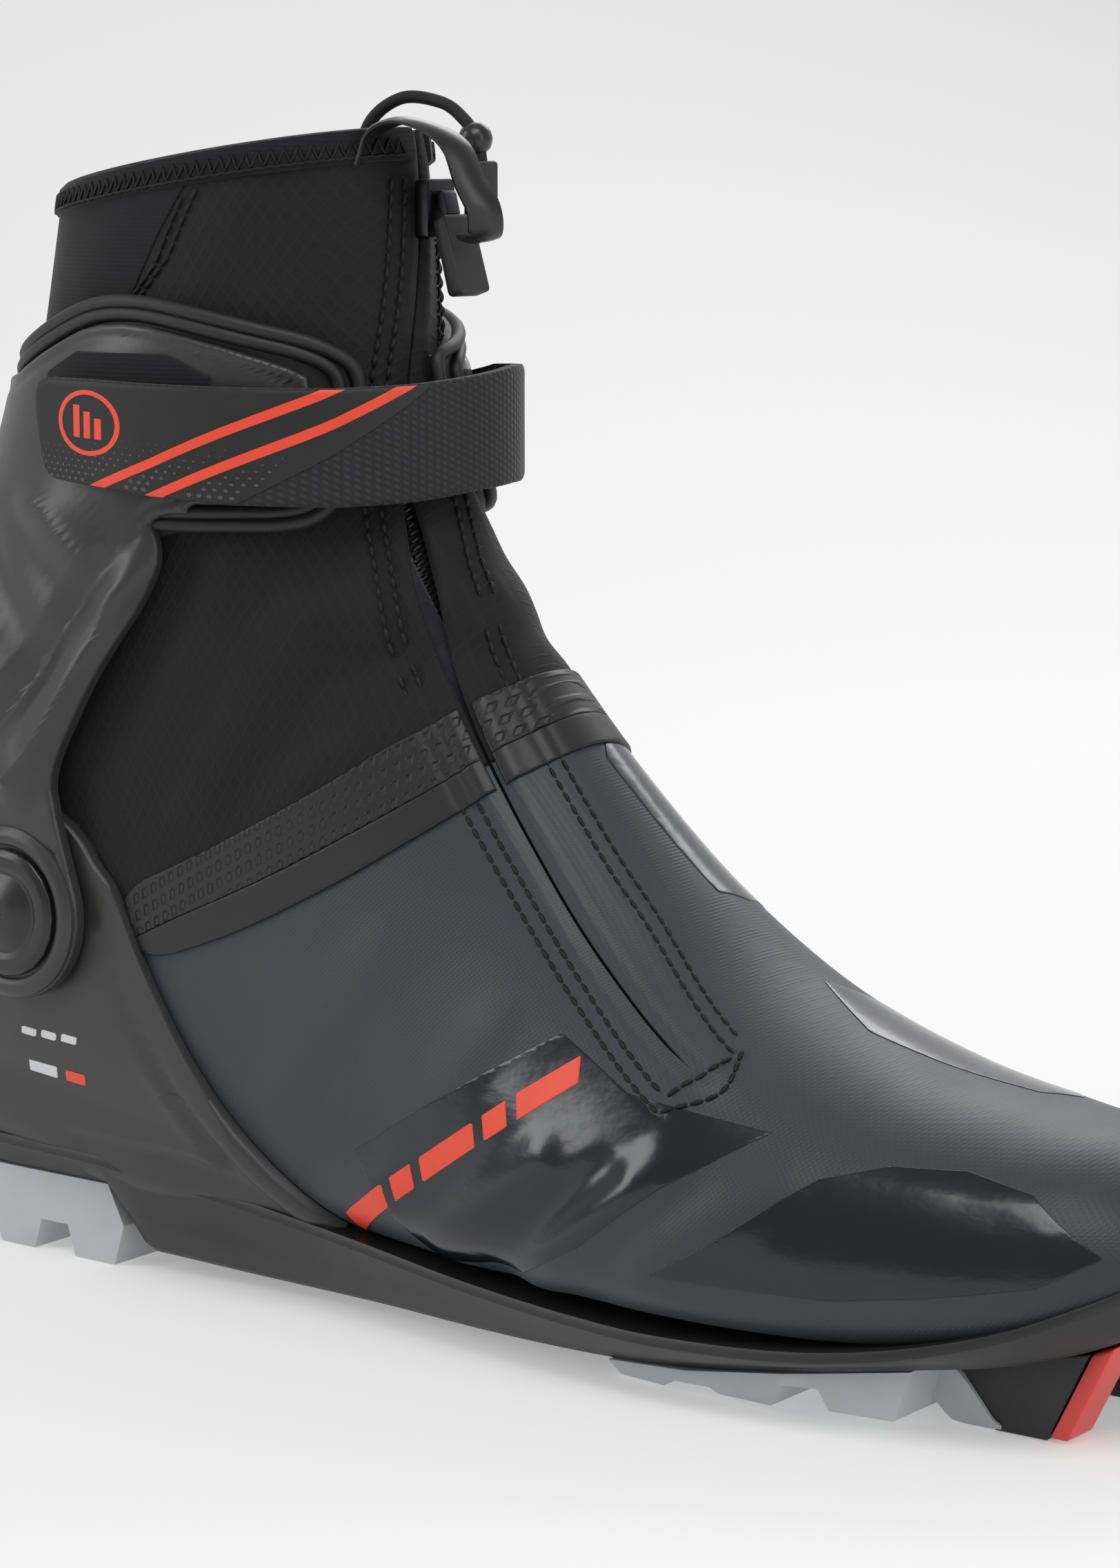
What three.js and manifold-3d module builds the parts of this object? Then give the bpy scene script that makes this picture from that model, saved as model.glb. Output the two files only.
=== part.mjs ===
// Right-foot cross country skate boot: sole with toe bar, zipped softshell upper,
// heel counter, hinged ankle cuff with strap, zipper and lace pull.
// Millimetres. +X towards the toe, +Y to the medial side, +Z up. The working
// origin of every number below is the floor point under the ankle axis.
import * as THREE from 'three';
import { mergeVertices } from 'three/addons/utils/BufferGeometryUtils.js';
import Module from 'manifold-3d';

const wasm = await Module();
wasm.setup();

// ---------- driving dimensions ----------
const ANKLE = { x: 0, z: 70 };        // cuff axis, parallel to Y
const FOOTPRINT_MIDDLE = { x: 86.3, y: 0 }; // middle of the boot's box on the floor
const GAP = 0.3;                      // between pieces that rest on each other
const FABRIC = 1.6;                   // softshell thickness
// Inner and outer face of each layer, as distances out of the skin.
const INSOLE = [-7.8, -4.6];
const LASTING_BOARD = [-4, -2.1];
const TONGUE = [-9, -6.6];
const LINER = [-5.6, -2.4];
const ZIPPER = [-1.4, -0.2];
const BAND_LAYER = [GAP, 0.9];
const HEEL_COUNTER = [GAP, 2.8];
const LINING = [0.4, 2.5];
const CUFF = [2.8, 5.2];
const LOOP_PATCH = [5.5, 6];
const BINDING = [-6, 0.9];
const THROUGH_FABRIC = [-4, 3];       // cuts that pass right through the fabric
const THROUGH_LINER = [-9, 1];
const EAR_PLANE = [39.5, 42.2];       // |y| of the flat cuff ears
const COUNTER_PLANE = 38.6;           // |y| of the flat counter ears
const ROOT_EAR_RADIUS = 22;           // upper that stays with the sole around the axis
const CUFF_EAR_RADIUS = 24;
// Angles at the ankle axis, up from straight ahead, that split sole part and cuff part.
const SPLIT = { front: 28, cuffFront: 47, cuffBack: 122, back: 135 };
const SPLIT_GAP = 0.6;                // degrees
const BOLT_RADIUS = 5;
const BOLT_FLANGE = { lateral: 31.2, medial: 29.4, thickness: 1.2, radius: 7.6 };
const COLLAR = 17;                    // section number of the collar rim
const BINDING_FROM = 16.45;
const QUARTER_SEAM = 12;              // x where the heel part of the shell meets the vamp
const ZIPPER_WIDTH = 5;
const ZIPPER_FROM = 5;                // section number of its lower end
const STRAP = { bottom: 148.5, top: 173.5, thickness: 2 };
const SLIDER_AT = 15.6;               // section number of the closed slider
const LACE_ROUTE = [                  // from inside the collar over its rim to the bead
  [42.5, 13, 152], [42.5, 13, 206], [43.5, 13.6, 217], [50.5, 15, 222.4], [59, 16.5, 221.6], [64, 17, 218.4],
];
const LACE_BEAD = [66.6, 17, 214.8];
const LACE_TAB = [66.5, 69.3, 13.5, 20.5, 199, 210.8]; // x, y and z ranges
const COLUMNS = 24;

// Sections of the upper, from toe tip to collar. Each plane holds the Y direction and
// turns from upright at the toe to level at the collar.
// [front or top x, z,  back or bottom x, z,  lateral and medial half width,
//  share of the height where it is widest, upper and lower corner exponent, y shift]
const SECTIONS = [
  [236.5, 31, 236.5, 29, 6, 6, 0.45, 2.0, 2.0, 3],
  [232, 41, 235, 23, 19, 19, 0.42, 2.2, 2.6, 3],
  [219, 48.5, 225, 18, 29, 28, 0.38, 2.3, 3.2, 2.5],
  [200, 51.5, 205, 14.5, 37, 35, 0.34, 2.3, 3.6, 2],
  [177, 56.5, 177, 12.5, 43, 40, 0.32, 2.2, 3.8, 1],
  [152, 67, 147, 12, 45, 42, 0.3, 2.1, 3.8, 0],
  [130, 84, 114, 12, 42, 39, 0.28, 2.0, 3.6, 0],
  [111, 103, 80, 13, 38.5, 36, 0.29, 2.0, 3.4, 0],
  [96, 120, 44, 16, 37, 35, 0.34, 2.0, 3.2, 0],
  [86, 133, 5, 19, 36.5, 34.5, 0.42, 2.0, 3.0, 0],
  [78, 146, -30, 20.5, 36, 35, 0.48, 2.0, 2.6, 0],
  [72, 157, -55, 29, 36, 35, 0.5, 2.0, 2.3, 0],
  [69, 167, -63.5, 46, 35.5, 34.5, 0.5, 2.0, 2.15, 0],
  [67, 176, -60, 74, 35, 34, 0.5, 2.0, 2.1, 0],
  [66, 186, -47, 102, 34, 33, 0.5, 2.0, 2.1, 0],
  [65, 196, -33, 130, 32.5, 31.5, 0.5, 2.0, 2.1, 0],
  [64, 206, -21, 163, 30, 29, 0.5, 2.0, 2.1, 0],
  [62.5, 217, -13, 205, 27.5, 27, 0.5, 2.0, 2.1, 0],
];

// ---------- the outer skin of the upper ----------
const radians = THREE.MathUtils.degToRad;

function sectionAt(t) {
  const last = SECTIONS.length - 1;
  if (t > last) {
    const [before, end] = [SECTIONS[last - 1], SECTIONS[last]];
    return end.map((value, k) => value + (value - before[k]) * (t - last));
  }
  const i = Math.min(Math.floor(t), last - 1);
  const f = t - i;
  const row = (n, k) => SECTIONS[n][k];
  return SECTIONS[0].map((_, k) => {
    const b = row(i, k);
    const c = row(i + 1, k);
    const a = i === 0 ? 2 * b - c : row(i - 1, k);
    const d = i === last - 1 ? 2 * c - b : row(i + 2, k);
    const cubic = (3 * b - a - 3 * c + d) * f ** 3;
    return 0.5 * (2 * b + (c - a) * f + (2 * a - 5 * b + 4 * c - d) * f ** 2 + cubic);
  });
}

// Point of the skin: t runs along the sections, angle round one of them in degrees,
// 0 medial, 90 front or top, 180 lateral, 270 back or bottom.
function skinPoint(t, angle) {
  const [fx, fz, bx, bz, lateral, medial, share, upper, lower, shift] = sectionAt(t);
  const sine = Math.sin(radians(angle));
  const cosine = Math.cos(radians(angle));
  const exponent = 2 / (sine >= 0 ? upper : lower);
  const reach = sine >= 0 ? 1 - share : share;
  const along = share + reach * Math.sign(sine) * Math.abs(sine) ** exponent;
  const side = Math.sign(cosine) * Math.abs(cosine) ** exponent;
  return new THREE.Vector3(
    bx + (fx - bx) * along,
    shift + (cosine >= 0 ? medial : lateral) * side,
    bz + (fz - bz) * along,
  );
}

function skinNormal(t, angle) {
  const step = 0.001;
  const [low, high] = [Math.max(t - step, 0), t + step];
  const alongT = skinPoint(high, angle).sub(skinPoint(low, angle));
  const round = skinPoint(t, angle + 0.05).sub(skinPoint(t, angle - 0.05));
  return alongT.cross(round).normalize();
}

const skin = (t, angle, offset) => skinPoint(t, angle).addScaledVector(skinNormal(t, angle), offset);

// ---------- solids ----------
function geometryOf(points, triangles) {
  const geometry = new THREE.BufferGeometry().setFromPoints(points);
  geometry.setIndex(triangles);
  return geometry;
}

// Triangles that join rows of points, each row a closed loop, into the side of a tube.
function tubeSides(rows, columns) {
  const triangles = [];
  for (let row = 0; row < rows - 1; row += 1) {
    for (let column = 0; column < columns; column += 1) {
      const next = (column + 1) % columns;
      const [a, b] = [row * columns + column, row * columns + next];
      triangles.push(a, a + columns, b, b, a + columns, b + columns);
    }
  }
  return triangles;
}

// A tube with a fan over each end, for loops that bulge outwards everywhere.
function tubeTriangles(rows, columns) {
  const triangles = tubeSides(rows, columns);
  const end = (rows - 1) * columns;
  for (let column = 1; column < columns - 1; column += 1) {
    triangles.push(0, column, column + 1);
    triangles.push(end, end + column + 1, end + column);
  }
  return triangles;
}

// A tube whose loops run out along one face and back along the other.
function stripTriangles(rows, columns) {
  const loop = 2 * columns + 2;
  const triangles = tubeSides(rows, loop);
  const end = (rows - 1) * loop;
  for (let k = 0; k < columns; k += 1) {
    const [a, b, c, d] = [k, k + 1, loop - 2 - k, loop - 1 - k];
    triangles.push(a, b, c, a, c, d);
    triangles.push(end + a, end + c, end + b, end + a, end + d, end + c);
  }
  return triangles;
}

function outward(geometry) {
  const solid = toSolid(geometry);
  if (solid.volume() > 0) return geometry;
  const index = geometry.getIndex().array;
  for (let k = 0; k < index.length; k += 3) [index[k], index[k + 1]] = [index[k + 1], index[k]];
  return geometry;
}

function toSolid(geometry) {
  const bare = geometry.clone();
  bare.deleteAttribute('normal');
  bare.deleteAttribute('uv');
  const merged = mergeVertices(bare, 1e-4);
  const corners = merged.getIndex().array;
  const triangles = [];
  for (let k = 0; k < corners.length; k += 3) {
    const [a, b, c] = corners.slice(k, k + 3);
    if (a !== b && b !== c && c !== a) triangles.push(a, b, c);
  }
  return new wasm.Manifold(new wasm.Mesh({
    numProp: 3,
    vertProperties: new Float32Array(merged.getAttribute('position').array),
    triVerts: new Uint32Array(triangles),
  }));
}

function toGeometry(solid) {
  const mesh = solid.getMesh();
  const geometry = new THREE.BufferGeometry();
  geometry.setAttribute('position', new THREE.BufferAttribute(mesh.vertProperties, 3));
  geometry.setIndex(new THREE.BufferAttribute(mesh.triVerts, 1));
  geometry.computeVertexNormals();
  return geometry;
}

// Section numbers from..to, at the same steps for every piece so that layers stay apart.
function levels(from, to) {
  const inside = [];
  for (let t = Math.floor(from) + 1; t < to; t += 1) inside.push(t);
  return [from, ...inside, to];
}

// Everything inside the skin moved out by offset, closed at the toe and at section `to`.
// A deep inner form starts a little behind the toe tip, where it would fold over itself.
function form(offset, { from = null, to = COLLAR, move = null } = {}) {
  const start = from ?? Math.max(0, (-offset - FABRIC) * 0.18);
  const rows = levels(start, to);
  const points = [];
  for (const t of rows) {
    for (let column = 0; column < COLUMNS; column += 1) {
      const point = skin(t, column * 360 / COLUMNS, offset);
      points.push(move ? move(point) : point);
    }
  }
  return toSolid(outward(geometryOf(points, tubeTriangles(rows.length, COLUMNS))));
}

// Wall between two offsets of the skin, open at its upper end (and at both if from > 0).
function wall(inner, outer, options = {}) {
  const from = options.from ?? null;
  const to = options.to ?? COLLAR;
  const hollow = form(inner, {
    ...options,
    from: from ? from - 0.5 : null,
    to: to + 0.5,
    move: options.moveInner ?? null,
  });
  return form(outer, { ...options, from, to, move: options.moveOuter ?? null }).subtract(hollow);
}

// Strip of the skin between two offsets: sections from..to, angles given by left(t), right(t).
function strip(inner, outer, from, to, left, right, columns = 4) {
  const rows = levels(from, to);
  const points = [];
  for (const t of rows) {
    const angle = (k) => left(t) + (right(t) - left(t)) * k / columns;
    for (let k = 0; k <= columns; k += 1) points.push(skin(t, angle(k), outer));
    for (let k = columns; k >= 0; k -= 1) points.push(skin(t, angle(k), inner));
  }
  return toSolid(outward(geometryOf(points, stripTriangles(rows.length, columns))));
}

// Prism over an outline in the side view (x, z), between two y values.
function sidePrism(outline, yLow = -60, yHigh = 60) {
  const shape = new THREE.Shape(outline.map(([x, z]) => new THREE.Vector2(x, z)));
  const geometry = new THREE.ExtrudeGeometry(shape, { depth: yHigh - yLow, bevelEnabled: false });
  return toSolid(geometry.rotateX(Math.PI / 2).translate(0, yHigh, 0));
}

// Prism over an outline in the plan view (x, y), between two heights.
function planPrism(outline, zLow, zHigh) {
  const shape = new THREE.Shape(outline.map(([x, y]) => new THREE.Vector2(x, y)));
  const geometry = new THREE.ExtrudeGeometry(shape, { depth: zHigh - zLow, bevelEnabled: false });
  return toSolid(geometry.translate(0, 0, zLow));
}

function box(xLow, xHigh, yLow, yHigh, zLow, zHigh) {
  const geometry = new THREE.BoxGeometry(xHigh - xLow, yHigh - yLow, zHigh - zLow);
  geometry.translate((xLow + xHigh) / 2, (yLow + yHigh) / 2, (zLow + zHigh) / 2);
  return toSolid(geometry);
}

// Turned piece on the ankle axis: profile of [radius, |y|]; side is -1 lateral, 1 medial.
function turned(profile, side, sides = 20) {
  const points = profile.map(([radius, y]) => new THREE.Vector2(radius, y));
  const geometry = new THREE.LatheGeometry(points, sides);
  if (side < 0) geometry.rotateX(Math.PI);
  geometry.translate(ANKLE.x, 0, ANKLE.z);
  return toSolid(outward(mergeVertices(stripped(geometry), 1e-4)));
}

function stripped(geometry) {
  geometry.deleteAttribute('normal');
  geometry.deleteAttribute('uv');
  return geometry;
}

function rod(points, radius, steps, sides = 8) {
  const path = new THREE.CatmullRomCurve3(points.map((p) => new THREE.Vector3(...p)));
  const section = new THREE.Shape();
  for (let k = 0; k < sides; k += 1) {
    const angle = 2 * Math.PI * k / sides;
    section[k ? 'lineTo' : 'moveTo'](radius * Math.cos(angle), radius * Math.sin(angle));
  }
  const geometry = new THREE.ExtrudeGeometry(section, { steps, extrudePath: path, bevelEnabled: false });
  return toSolid(outward(mergeVertices(stripped(geometry), 1e-4)));
}

// ---------- outlines in the side view ----------
const polar = (angle, radius) => [
  ANKLE.x + radius * Math.cos(radians(angle)),
  ANKLE.z + radius * Math.sin(radians(angle)),
];

function arc(from, to, radius, steps = 8) {
  return Array.from({ length: steps + 1 }, (_, k) => polar(from + (to - from) * k / steps, radius));
}

const FAR = 230;
const wedge = (from, to, radius) => [...arc(to, from, radius), polar(from, FAR), polar(to, FAR)];
const BAND_MIDDLE = [[24, 66], [49, 78], [74, 90], [93, 101], [105, 110], [112, 117]];
const raised = (line, by) => line.map(([x, z]) => [x, z + by]);

const SOLE_PART = [                   // all of the upper that stays with the sole
  [-90, -5], [260, -5], [260, 150], polar(SPLIT.front, FAR),
  ...arc(SPLIT.front, SPLIT.back, ROOT_EAR_RADIUS), polar(SPLIT.back, FAR), [-90, 100],
];
const VAMP = [
  [-90, -5], [260, -5], [260, 117], ...[...BAND_MIDDLE].reverse(),
  ...arc(0, SPLIT.back, ROOT_EAR_RADIUS), polar(SPLIT.back, FAR), [-90, 100],
];
const GAITER_LOWER = [
  ...raised(BAND_MIDDLE, 0.4), polar(SPLIT.front, FAR), ...arc(SPLIT.front, 0, ROOT_EAR_RADIUS + GAP),
];
const CUFF_PART = wedge(SPLIT.cuffFront, SPLIT.cuffBack, CUFF_EAR_RADIUS);
const FLEX_FRONT = wedge(SPLIT.front + SPLIT_GAP, SPLIT.cuffFront - SPLIT_GAP, CUFF_EAR_RADIUS);
const FLEX_BACK = wedge(SPLIT.cuffBack + SPLIT_GAP, SPLIT.back - SPLIT_GAP, CUFF_EAR_RADIUS);
const BAND = [
  [30.9, 62.9], [53, 71], [75, 82.5], [92, 93.5], [105, 104], [116, 115], [104, 124], [97, 118.5],
  [87, 111], [79, 106], [66, 97], [44, 85], [24.4, 76.4],
];
const COUNTER = [
  [75, 17], [62, 25], [49, 36], [39, 48], [30, 62], [23, 76], ...arc(30, 150, 21),
  [-35, 88], [-80, 97], [-80, 23.3], [20, 23.3],
];
const CUFF_BACK = [[-75, 166], [-75, 136], [-20, 131], [-5, 128], [-14, 108], [-20, 92]];
const CUFF_TOP = [[17, 182.5], [5, 178], [-12, 171]];
const cuffOutline = (wingFront) => [
  [wingFront - 4, 176], [wingFront - 18, 180], [29, 183], ...CUFF_TOP, ...CUFF_BACK,
  ...arc(160, 385, 17, 14), [12, 88], [10, 97], [21, 115], [33, 135], [33.5, 141], [31, 147],
  [wingFront - 3, 146.5], [wingFront, 150], [wingFront, 171],
];
const WING_FRONT = { lateral: 61, medial: 68 };
const liningOutline = (wingFront) => [
  [wingFront - 3, 179], [wingFront - 18, 183.2], [28, 186.2], [16, 185.7], [4, 181.2], [-13, 174.2],
  [-75, 169], [-75, 139], [-20, 134], [-5, 131], [10, 130], [30, 143.5],
  [wingFront - 2, 143.5], [wingFront + 3, 149], [wingFront + 3, 173],
];

// ---------- walls shared by several pieces ----------
const zipperAngle = (t) => 78 + 56 * (Math.max(COLLAR - t, 0) / 12) ** 1.1;

// Angles of a line that runs `distance` beside the zipper, in millimetres.
function besideZipper(distance) {
  return (t) => {
    const angle = zipperAngle(t);
    const perDegree = skinPoint(t, angle + 0.5).distanceTo(skinPoint(t, angle - 0.5));
    return angle + distance / perDegree;
  };
}

const slotHalf = ZIPPER_WIDTH / 2 + 0.5;
const zipperSlot = strip(...THROUGH_FABRIC, ZIPPER_FROM, COLLAR + 0.5,
  besideZipper(-slotHalf), besideZipper(slotHalf));
const openFabric = wall(-FABRIC, 0).subtract(zipperSlot);
const underFoot = (layer, from, to, spread) => (
  strip(...layer, from, to, () => 270 - spread, () => 270 + spread, 6)
);
const liner = wall(...LINER, { to: BINDING_FROM - 0.06 })
  .subtract(strip(...THROUGH_LINER, 5.2, COLLAR + 0.5, () => 72, () => 112, 6))
  .subtract(underFoot(THROUGH_LINER, 1.75, 10.8, 48));
const footForm = form(GAP);
const boltHole = turned([[0, 20], [BOLT_RADIUS + 0.4, 20], [BOLT_RADIUS + 0.4, 60], [0, 60]], 1);
const boltHoles = boltHole.add(boltHole.mirror([0, 1, 0]));
const nutRecess = turned([[0, 25], [8.2, 25], [8.2, 50], [0, 50]], 1);
const nutRecesses = nutRecess.add(nutRecess.mirror([0, 1, 0]));

// ---------- sole ----------
// Loft of the sole from heel to toe.
// [x, top z, bottom z, lateral and medial half width at the top, half width at the bottom]
const SOLE = [
  [-63, 25, 17.5, 12, 12, 10],
  [-56, 23, 16.6, 22, 21, 19],
  [-42, 23, 16.2, 27.5, 26.5, 25],
  [-15, 23, 16, 31, 29.5, 28],
  [14, 22.8, 16, 33.2, 31.5, 28.5],
  [17, 22.4, 3.2, 33.4, 31.7, 26],
  [45, 19.6, 2.4, 33, 31.2, 25],
  [75, 16.6, 2.2, 34.8, 32.8, 26],
  [105, 13.8, 2.2, 38.2, 35.8, 29],
  [130, 12.6, 2.8, 41, 38.4, 31],
  [150, 12.6, 4.6, 42.8, 40.4, 33],
  [175, 14, 8.4, 41.8, 40.4, 34],
  [195, 17, 11.6, 38.8, 38.8, 32],
  [212, 21.5, 14.4, 33.8, 35.6, 28],
  [225, 27, 18.2, 27, 30.5, 21],
  [234, 31.5, 23.4, 17, 22, 13],
  [239, 33.5, 28, 8, 14, 6],
];

function soleBlank() {
  const points = SOLE.flatMap(([x, top, bottom, lateral, medial, base]) => [
    [x, -lateral, top], [x, -lateral, top - 2.5], [x, -base, bottom],
    [x, base, bottom], [x, medial, top - 2.5], [x, medial, top],
  ]);
  const vectors = points.map((p) => new THREE.Vector3(...p));
  return toSolid(outward(geometryOf(vectors, tubeTriangles(SOLE.length, 6))));
}

// Half round of the heel in plan.
const heelPlan = (half, back, front) => {
  const outline = [[front, -half - 1], [front, half + 1]];
  for (let k = 0; k <= 12; k += 1) {
    const angle = radians(90 + 15 * k);
    outline.push([back + half * (1 + Math.cos(angle)), half * Math.sin(angle)]);
  }
  return outline;
};

const HEEL_LUGS = [[2, 12.5], [-18, -9], [-38, -29], [-57, -49]]; // back and front of each lug at z 0
const HEEL_TREAD = { top: 15.7, web: 6, back: -60, front: 15, half: 27 };

function heelTread() {
  const outline = [[HEEL_TREAD.front - 4, HEEL_TREAD.top], [HEEL_TREAD.front, 8]];
  for (const [back, front] of HEEL_LUGS) {
    outline.push([front, 0], [back, 0]);
    if (back > HEEL_TREAD.back + 6) outline.push([back - 2, HEEL_TREAD.web], [back - 9, HEEL_TREAD.web]);
  }
  outline.push([HEEL_TREAD.back, 9], [HEEL_TREAD.back, HEEL_TREAD.top]);
  const plan = heelPlan(HEEL_TREAD.half, HEEL_TREAD.back, 20);
  return sidePrism(outline, -30, 30).intersect(planPrism(plan, -1, 20));
}

// Bottom face of the sole along the forefoot, by x.
function soleBottom(x) {
  const next = SOLE.findIndex(([at]) => at >= x);
  const [a, b] = [SOLE[next - 1], SOLE[next]];
  return a[2] + (b[2] - a[2]) * (x - a[0]) / (b[0] - a[0]);
}

const FOREFOOT_LUGS = [[135, 145], [157, 168], [179, 191]]; // back and front of each lug

function forefootTread(side) {
  const top = (x) => [x, soleBottom(x) - GAP];
  const outline = [132, 140, 150, 162, 175, 186, 194].map(top).reverse();
  outline.push([132.5, 2.2]);
  for (const [back, front] of FOREFOOT_LUGS) {
    const floor = 0.6 + (back - 135) * 0.035;
    const web = soleBottom(front + 4) - 2.6;
    outline.push([back, floor], [front, floor]);
    if (front < 190) outline.push([front + 2, Math.max(web, floor + 1)]);
    if (front < 190) outline.push([back + 20, Math.max(web, floor + 1) + 0.3]);
  }
  const edge = [[130, 15], [200, 15], [200, 30], [170, 33.5], [150, 33], [130, 30.5]];
  const plan = edge.map(([x, y]) => [x, side * y]);
  return sidePrism(outline).intersect(planPrism(plan, -1, 20));
}

const TOE_BLOCK = { half: 19, barX: 211, barZ: 5.4, barRadius: 2 };
const toePocket = box(202.5, 230, -10, 10, -1, 11.5);

function toeBlock() {
  const outline = [[196, 11.4], [203.5, 0], [213.6, 0], [221.4, 16.2], [212, 14], [204, 12.7]];
  const bar = rod([[TOE_BLOCK.barX, -17, TOE_BLOCK.barZ], [TOE_BLOCK.barX, 17, TOE_BLOCK.barZ]],
    TOE_BLOCK.barRadius + GAP, 1, 12);
  return sidePrism(outline, -TOE_BLOCK.half, TOE_BLOCK.half).subtract(toePocket).subtract(bar);
}

function toeInsert(side) {
  const outline = [[214.1, 0.4], [217.3, 0.4], [226, 18], [222, 16.4]];
  const [low, high] = side < 0 ? [-TOE_BLOCK.half, -10.3] : [10.3, TOE_BLOCK.half];
  return sidePrism(outline, low, high);
}

// ---------- cuff ----------
// The cuff lies on the skin at the ring and goes flat round the ankle axis.
function flattened(plane) {
  return (point) => {
    const radius = Math.hypot(point.x - ANKLE.x, point.z - ANKLE.z);
    const share = THREE.MathUtils.smoothstep(radius, 45, 68);
    const flat = Math.sign(point.y) * plane;
    const side = Math.abs(point.y) > 25 ? 1 : 0;
    if (side && share < 1) point.y = flat + (point.y - flat) * share;
    return point;
  };
}

function cuffWall([inner, outer], outline, options = {}) {
  const lateral = sidePrism(outline(WING_FRONT.lateral), -60, 0);
  const medial = sidePrism(outline(WING_FRONT.medial), 0, 60);
  return wall(inner, outer, { from: 8, to: 16.6, ...options }).intersect(lateral.add(medial));
}

// ---------- strap ----------
const STRAP_PATH = [
  [40.2, 38.2], [52, 36.2], [63, 31.2], [73, 22], [80.5, 10], [81.5, -2], [77, -14], [66, -26],
  [50, -36], [35, -40.2], [21, -41.5], [9, -41.7],
];

// Band along the strap's path from share `from` to `to`, between two distances off its middle.
function strapBand(from, to, outer, inner, [bottom, top], steps) {
  const curve = new THREE.SplineCurve(STRAP_PATH.map((p) => new THREE.Vector2(...p)));
  const sideLine = (by) => Array.from({ length: steps + 1 }, (_, k) => {
    const at = from + (to - from) * k / steps;
    const [point, tangent] = [curve.getPoint(at), curve.getTangent(at)];
    return [point.x - tangent.y * by, point.y + tangent.x * by];
  });
  return planPrism([...sideLine(outer), ...sideLine(inner).reverse()], bottom, top);
}

// ---------- materials ----------
const materials = {
  sole: { color: 0x17181a, roughness: 0.55 },
  tread: { color: 0xb9bcc2, roughness: 0.6 },
  red: { color: 0xd8281c, roughness: 0.4 },
  steel: { color: 0xa8adb2, roughness: 0.3, metalness: 1 },
  board: { color: 0x8a8170, roughness: 0.9 },
  insole: { color: 0x2a2c30, roughness: 0.9 },
  softshell: { color: 0x3a3e48, roughness: 0.5 },
  gaiter: { color: 0x121316, roughness: 0.8 },
  band: { color: 0x26282b, roughness: 0.5 },
  plastic: { color: 0x202224, roughness: 0.4 },
  lining: { color: 0x0f1012, roughness: 0.7 },
  fleece: { color: 0x1b1c20, roughness: 0.95 },
  webbing: { color: 0x17181a, roughness: 0.85 },
  zipper: { color: 0x0c0d0f, roughness: 0.35 },
};

const boot = new THREE.Group();
boot.position.set(-FOOTPRINT_MIDDLE.x, -FOOTPRINT_MIDDLE.y, 0);

function add(name, solid, material) {
  const mesh = new THREE.Mesh(toGeometry(solid), new THREE.MeshStandardMaterial(materials[material]));
  mesh.name = name;
  boot.add(mesh);
}

const sideName = (side) => (side < 0 ? 'lateral' : 'medial');
const SIDES = [-1, 1];

// Sole pieces
add('sole_plate', soleBlank().subtract(footForm), 'sole');
add('heel_tread', heelTread(), 'tread');
add('toe_block', toeBlock(), 'sole');
add('toe_bar', rod([[TOE_BLOCK.barX, -16.6, TOE_BLOCK.barZ], [TOE_BLOCK.barX, 16.6, TOE_BLOCK.barZ]],
  TOE_BLOCK.barRadius, 1, 12), 'steel');
for (const side of SIDES) {
  add(`forefoot_tread_${sideName(side)}`, forefootTread(side), 'tread');
  add(`toe_insert_${sideName(side)}`, toeInsert(side), 'red');
}

// Inside the shoe
add('lasting_board', underFoot(LASTING_BOARD, 2, 10, 45), 'board');
add('insole', underFoot(INSOLE, 3, 10, 45), 'insole');
const solePart = sidePrism(SOLE_PART);
const cuffPart = sidePrism(CUFF_PART);
add('liner_lower', liner.intersect(solePart).subtract(nutRecesses), 'fleece');
add('liner_upper', liner.intersect(cuffPart), 'fleece');
const tongue = (from, to) => strip(...TONGUE, from, to, () => 66, () => 120, 6);
add('tongue_lower', tongue(4.8, 9).intersect(solePart), 'fleece');
add('tongue_upper', tongue(9, 16.4).intersect(cuffPart), 'fleece');

// Upper
const lowerShell = openFabric.intersect(sidePrism(VAMP)).subtract(boltHoles);
add('vamp_shell', lowerShell.intersect(box(QUARTER_SEAM + GAP / 2, 260, -60, 60, -5, 240)), 'softshell');
add('heel_quarter', lowerShell.intersect(box(-100, QUARTER_SEAM - GAP / 2, -60, 60, -5, 240)), 'softshell');
add('gaiter_upper', openFabric.intersect(cuffPart)
  .intersect(form(2, { from: 7, to: BINDING_FROM - 0.05 })), 'gaiter');
add('gaiter_flex_front', wall(LINER[0], 0).intersect(sidePrism(FLEX_FRONT)), 'gaiter');
add('gaiter_flex_back', wall(LINER[0], 0).intersect(sidePrism(FLEX_BACK)), 'softshell');
// Plan area on one side of the zipper, `gap` clear of its line.
const besideZipperPlan = (side, gap) => [
  [-20, 14 + side * gap], [160, -34.4 + side * gap], [160, side * 60], [-20, side * 60],
];
for (const side of SIDES) {
  const half = planPrism(besideZipperPlan(side, 0), 0, 240);
  add(`gaiter_lower_${sideName(side)}`, openFabric.intersect(sidePrism(GAITER_LOWER)).intersect(half),
    'gaiter');
  add(`transition_band_${sideName(side)}`, wall(...BAND_LAYER, { from: 4.5, to: 12 })
    .intersect(sidePrism(BAND)).intersect(planPrism(besideZipperPlan(side, 5), 0, 200)), 'band');
}
add('heel_counter', wall(...HEEL_COUNTER, { from: 5, to: 16 }).intersect(sidePrism(COUNTER))
  .intersect(box(-100, 100, -COUNTER_PLANE, COUNTER_PLANE, 0, 120)).subtract(boltHoles), 'plastic');

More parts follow.
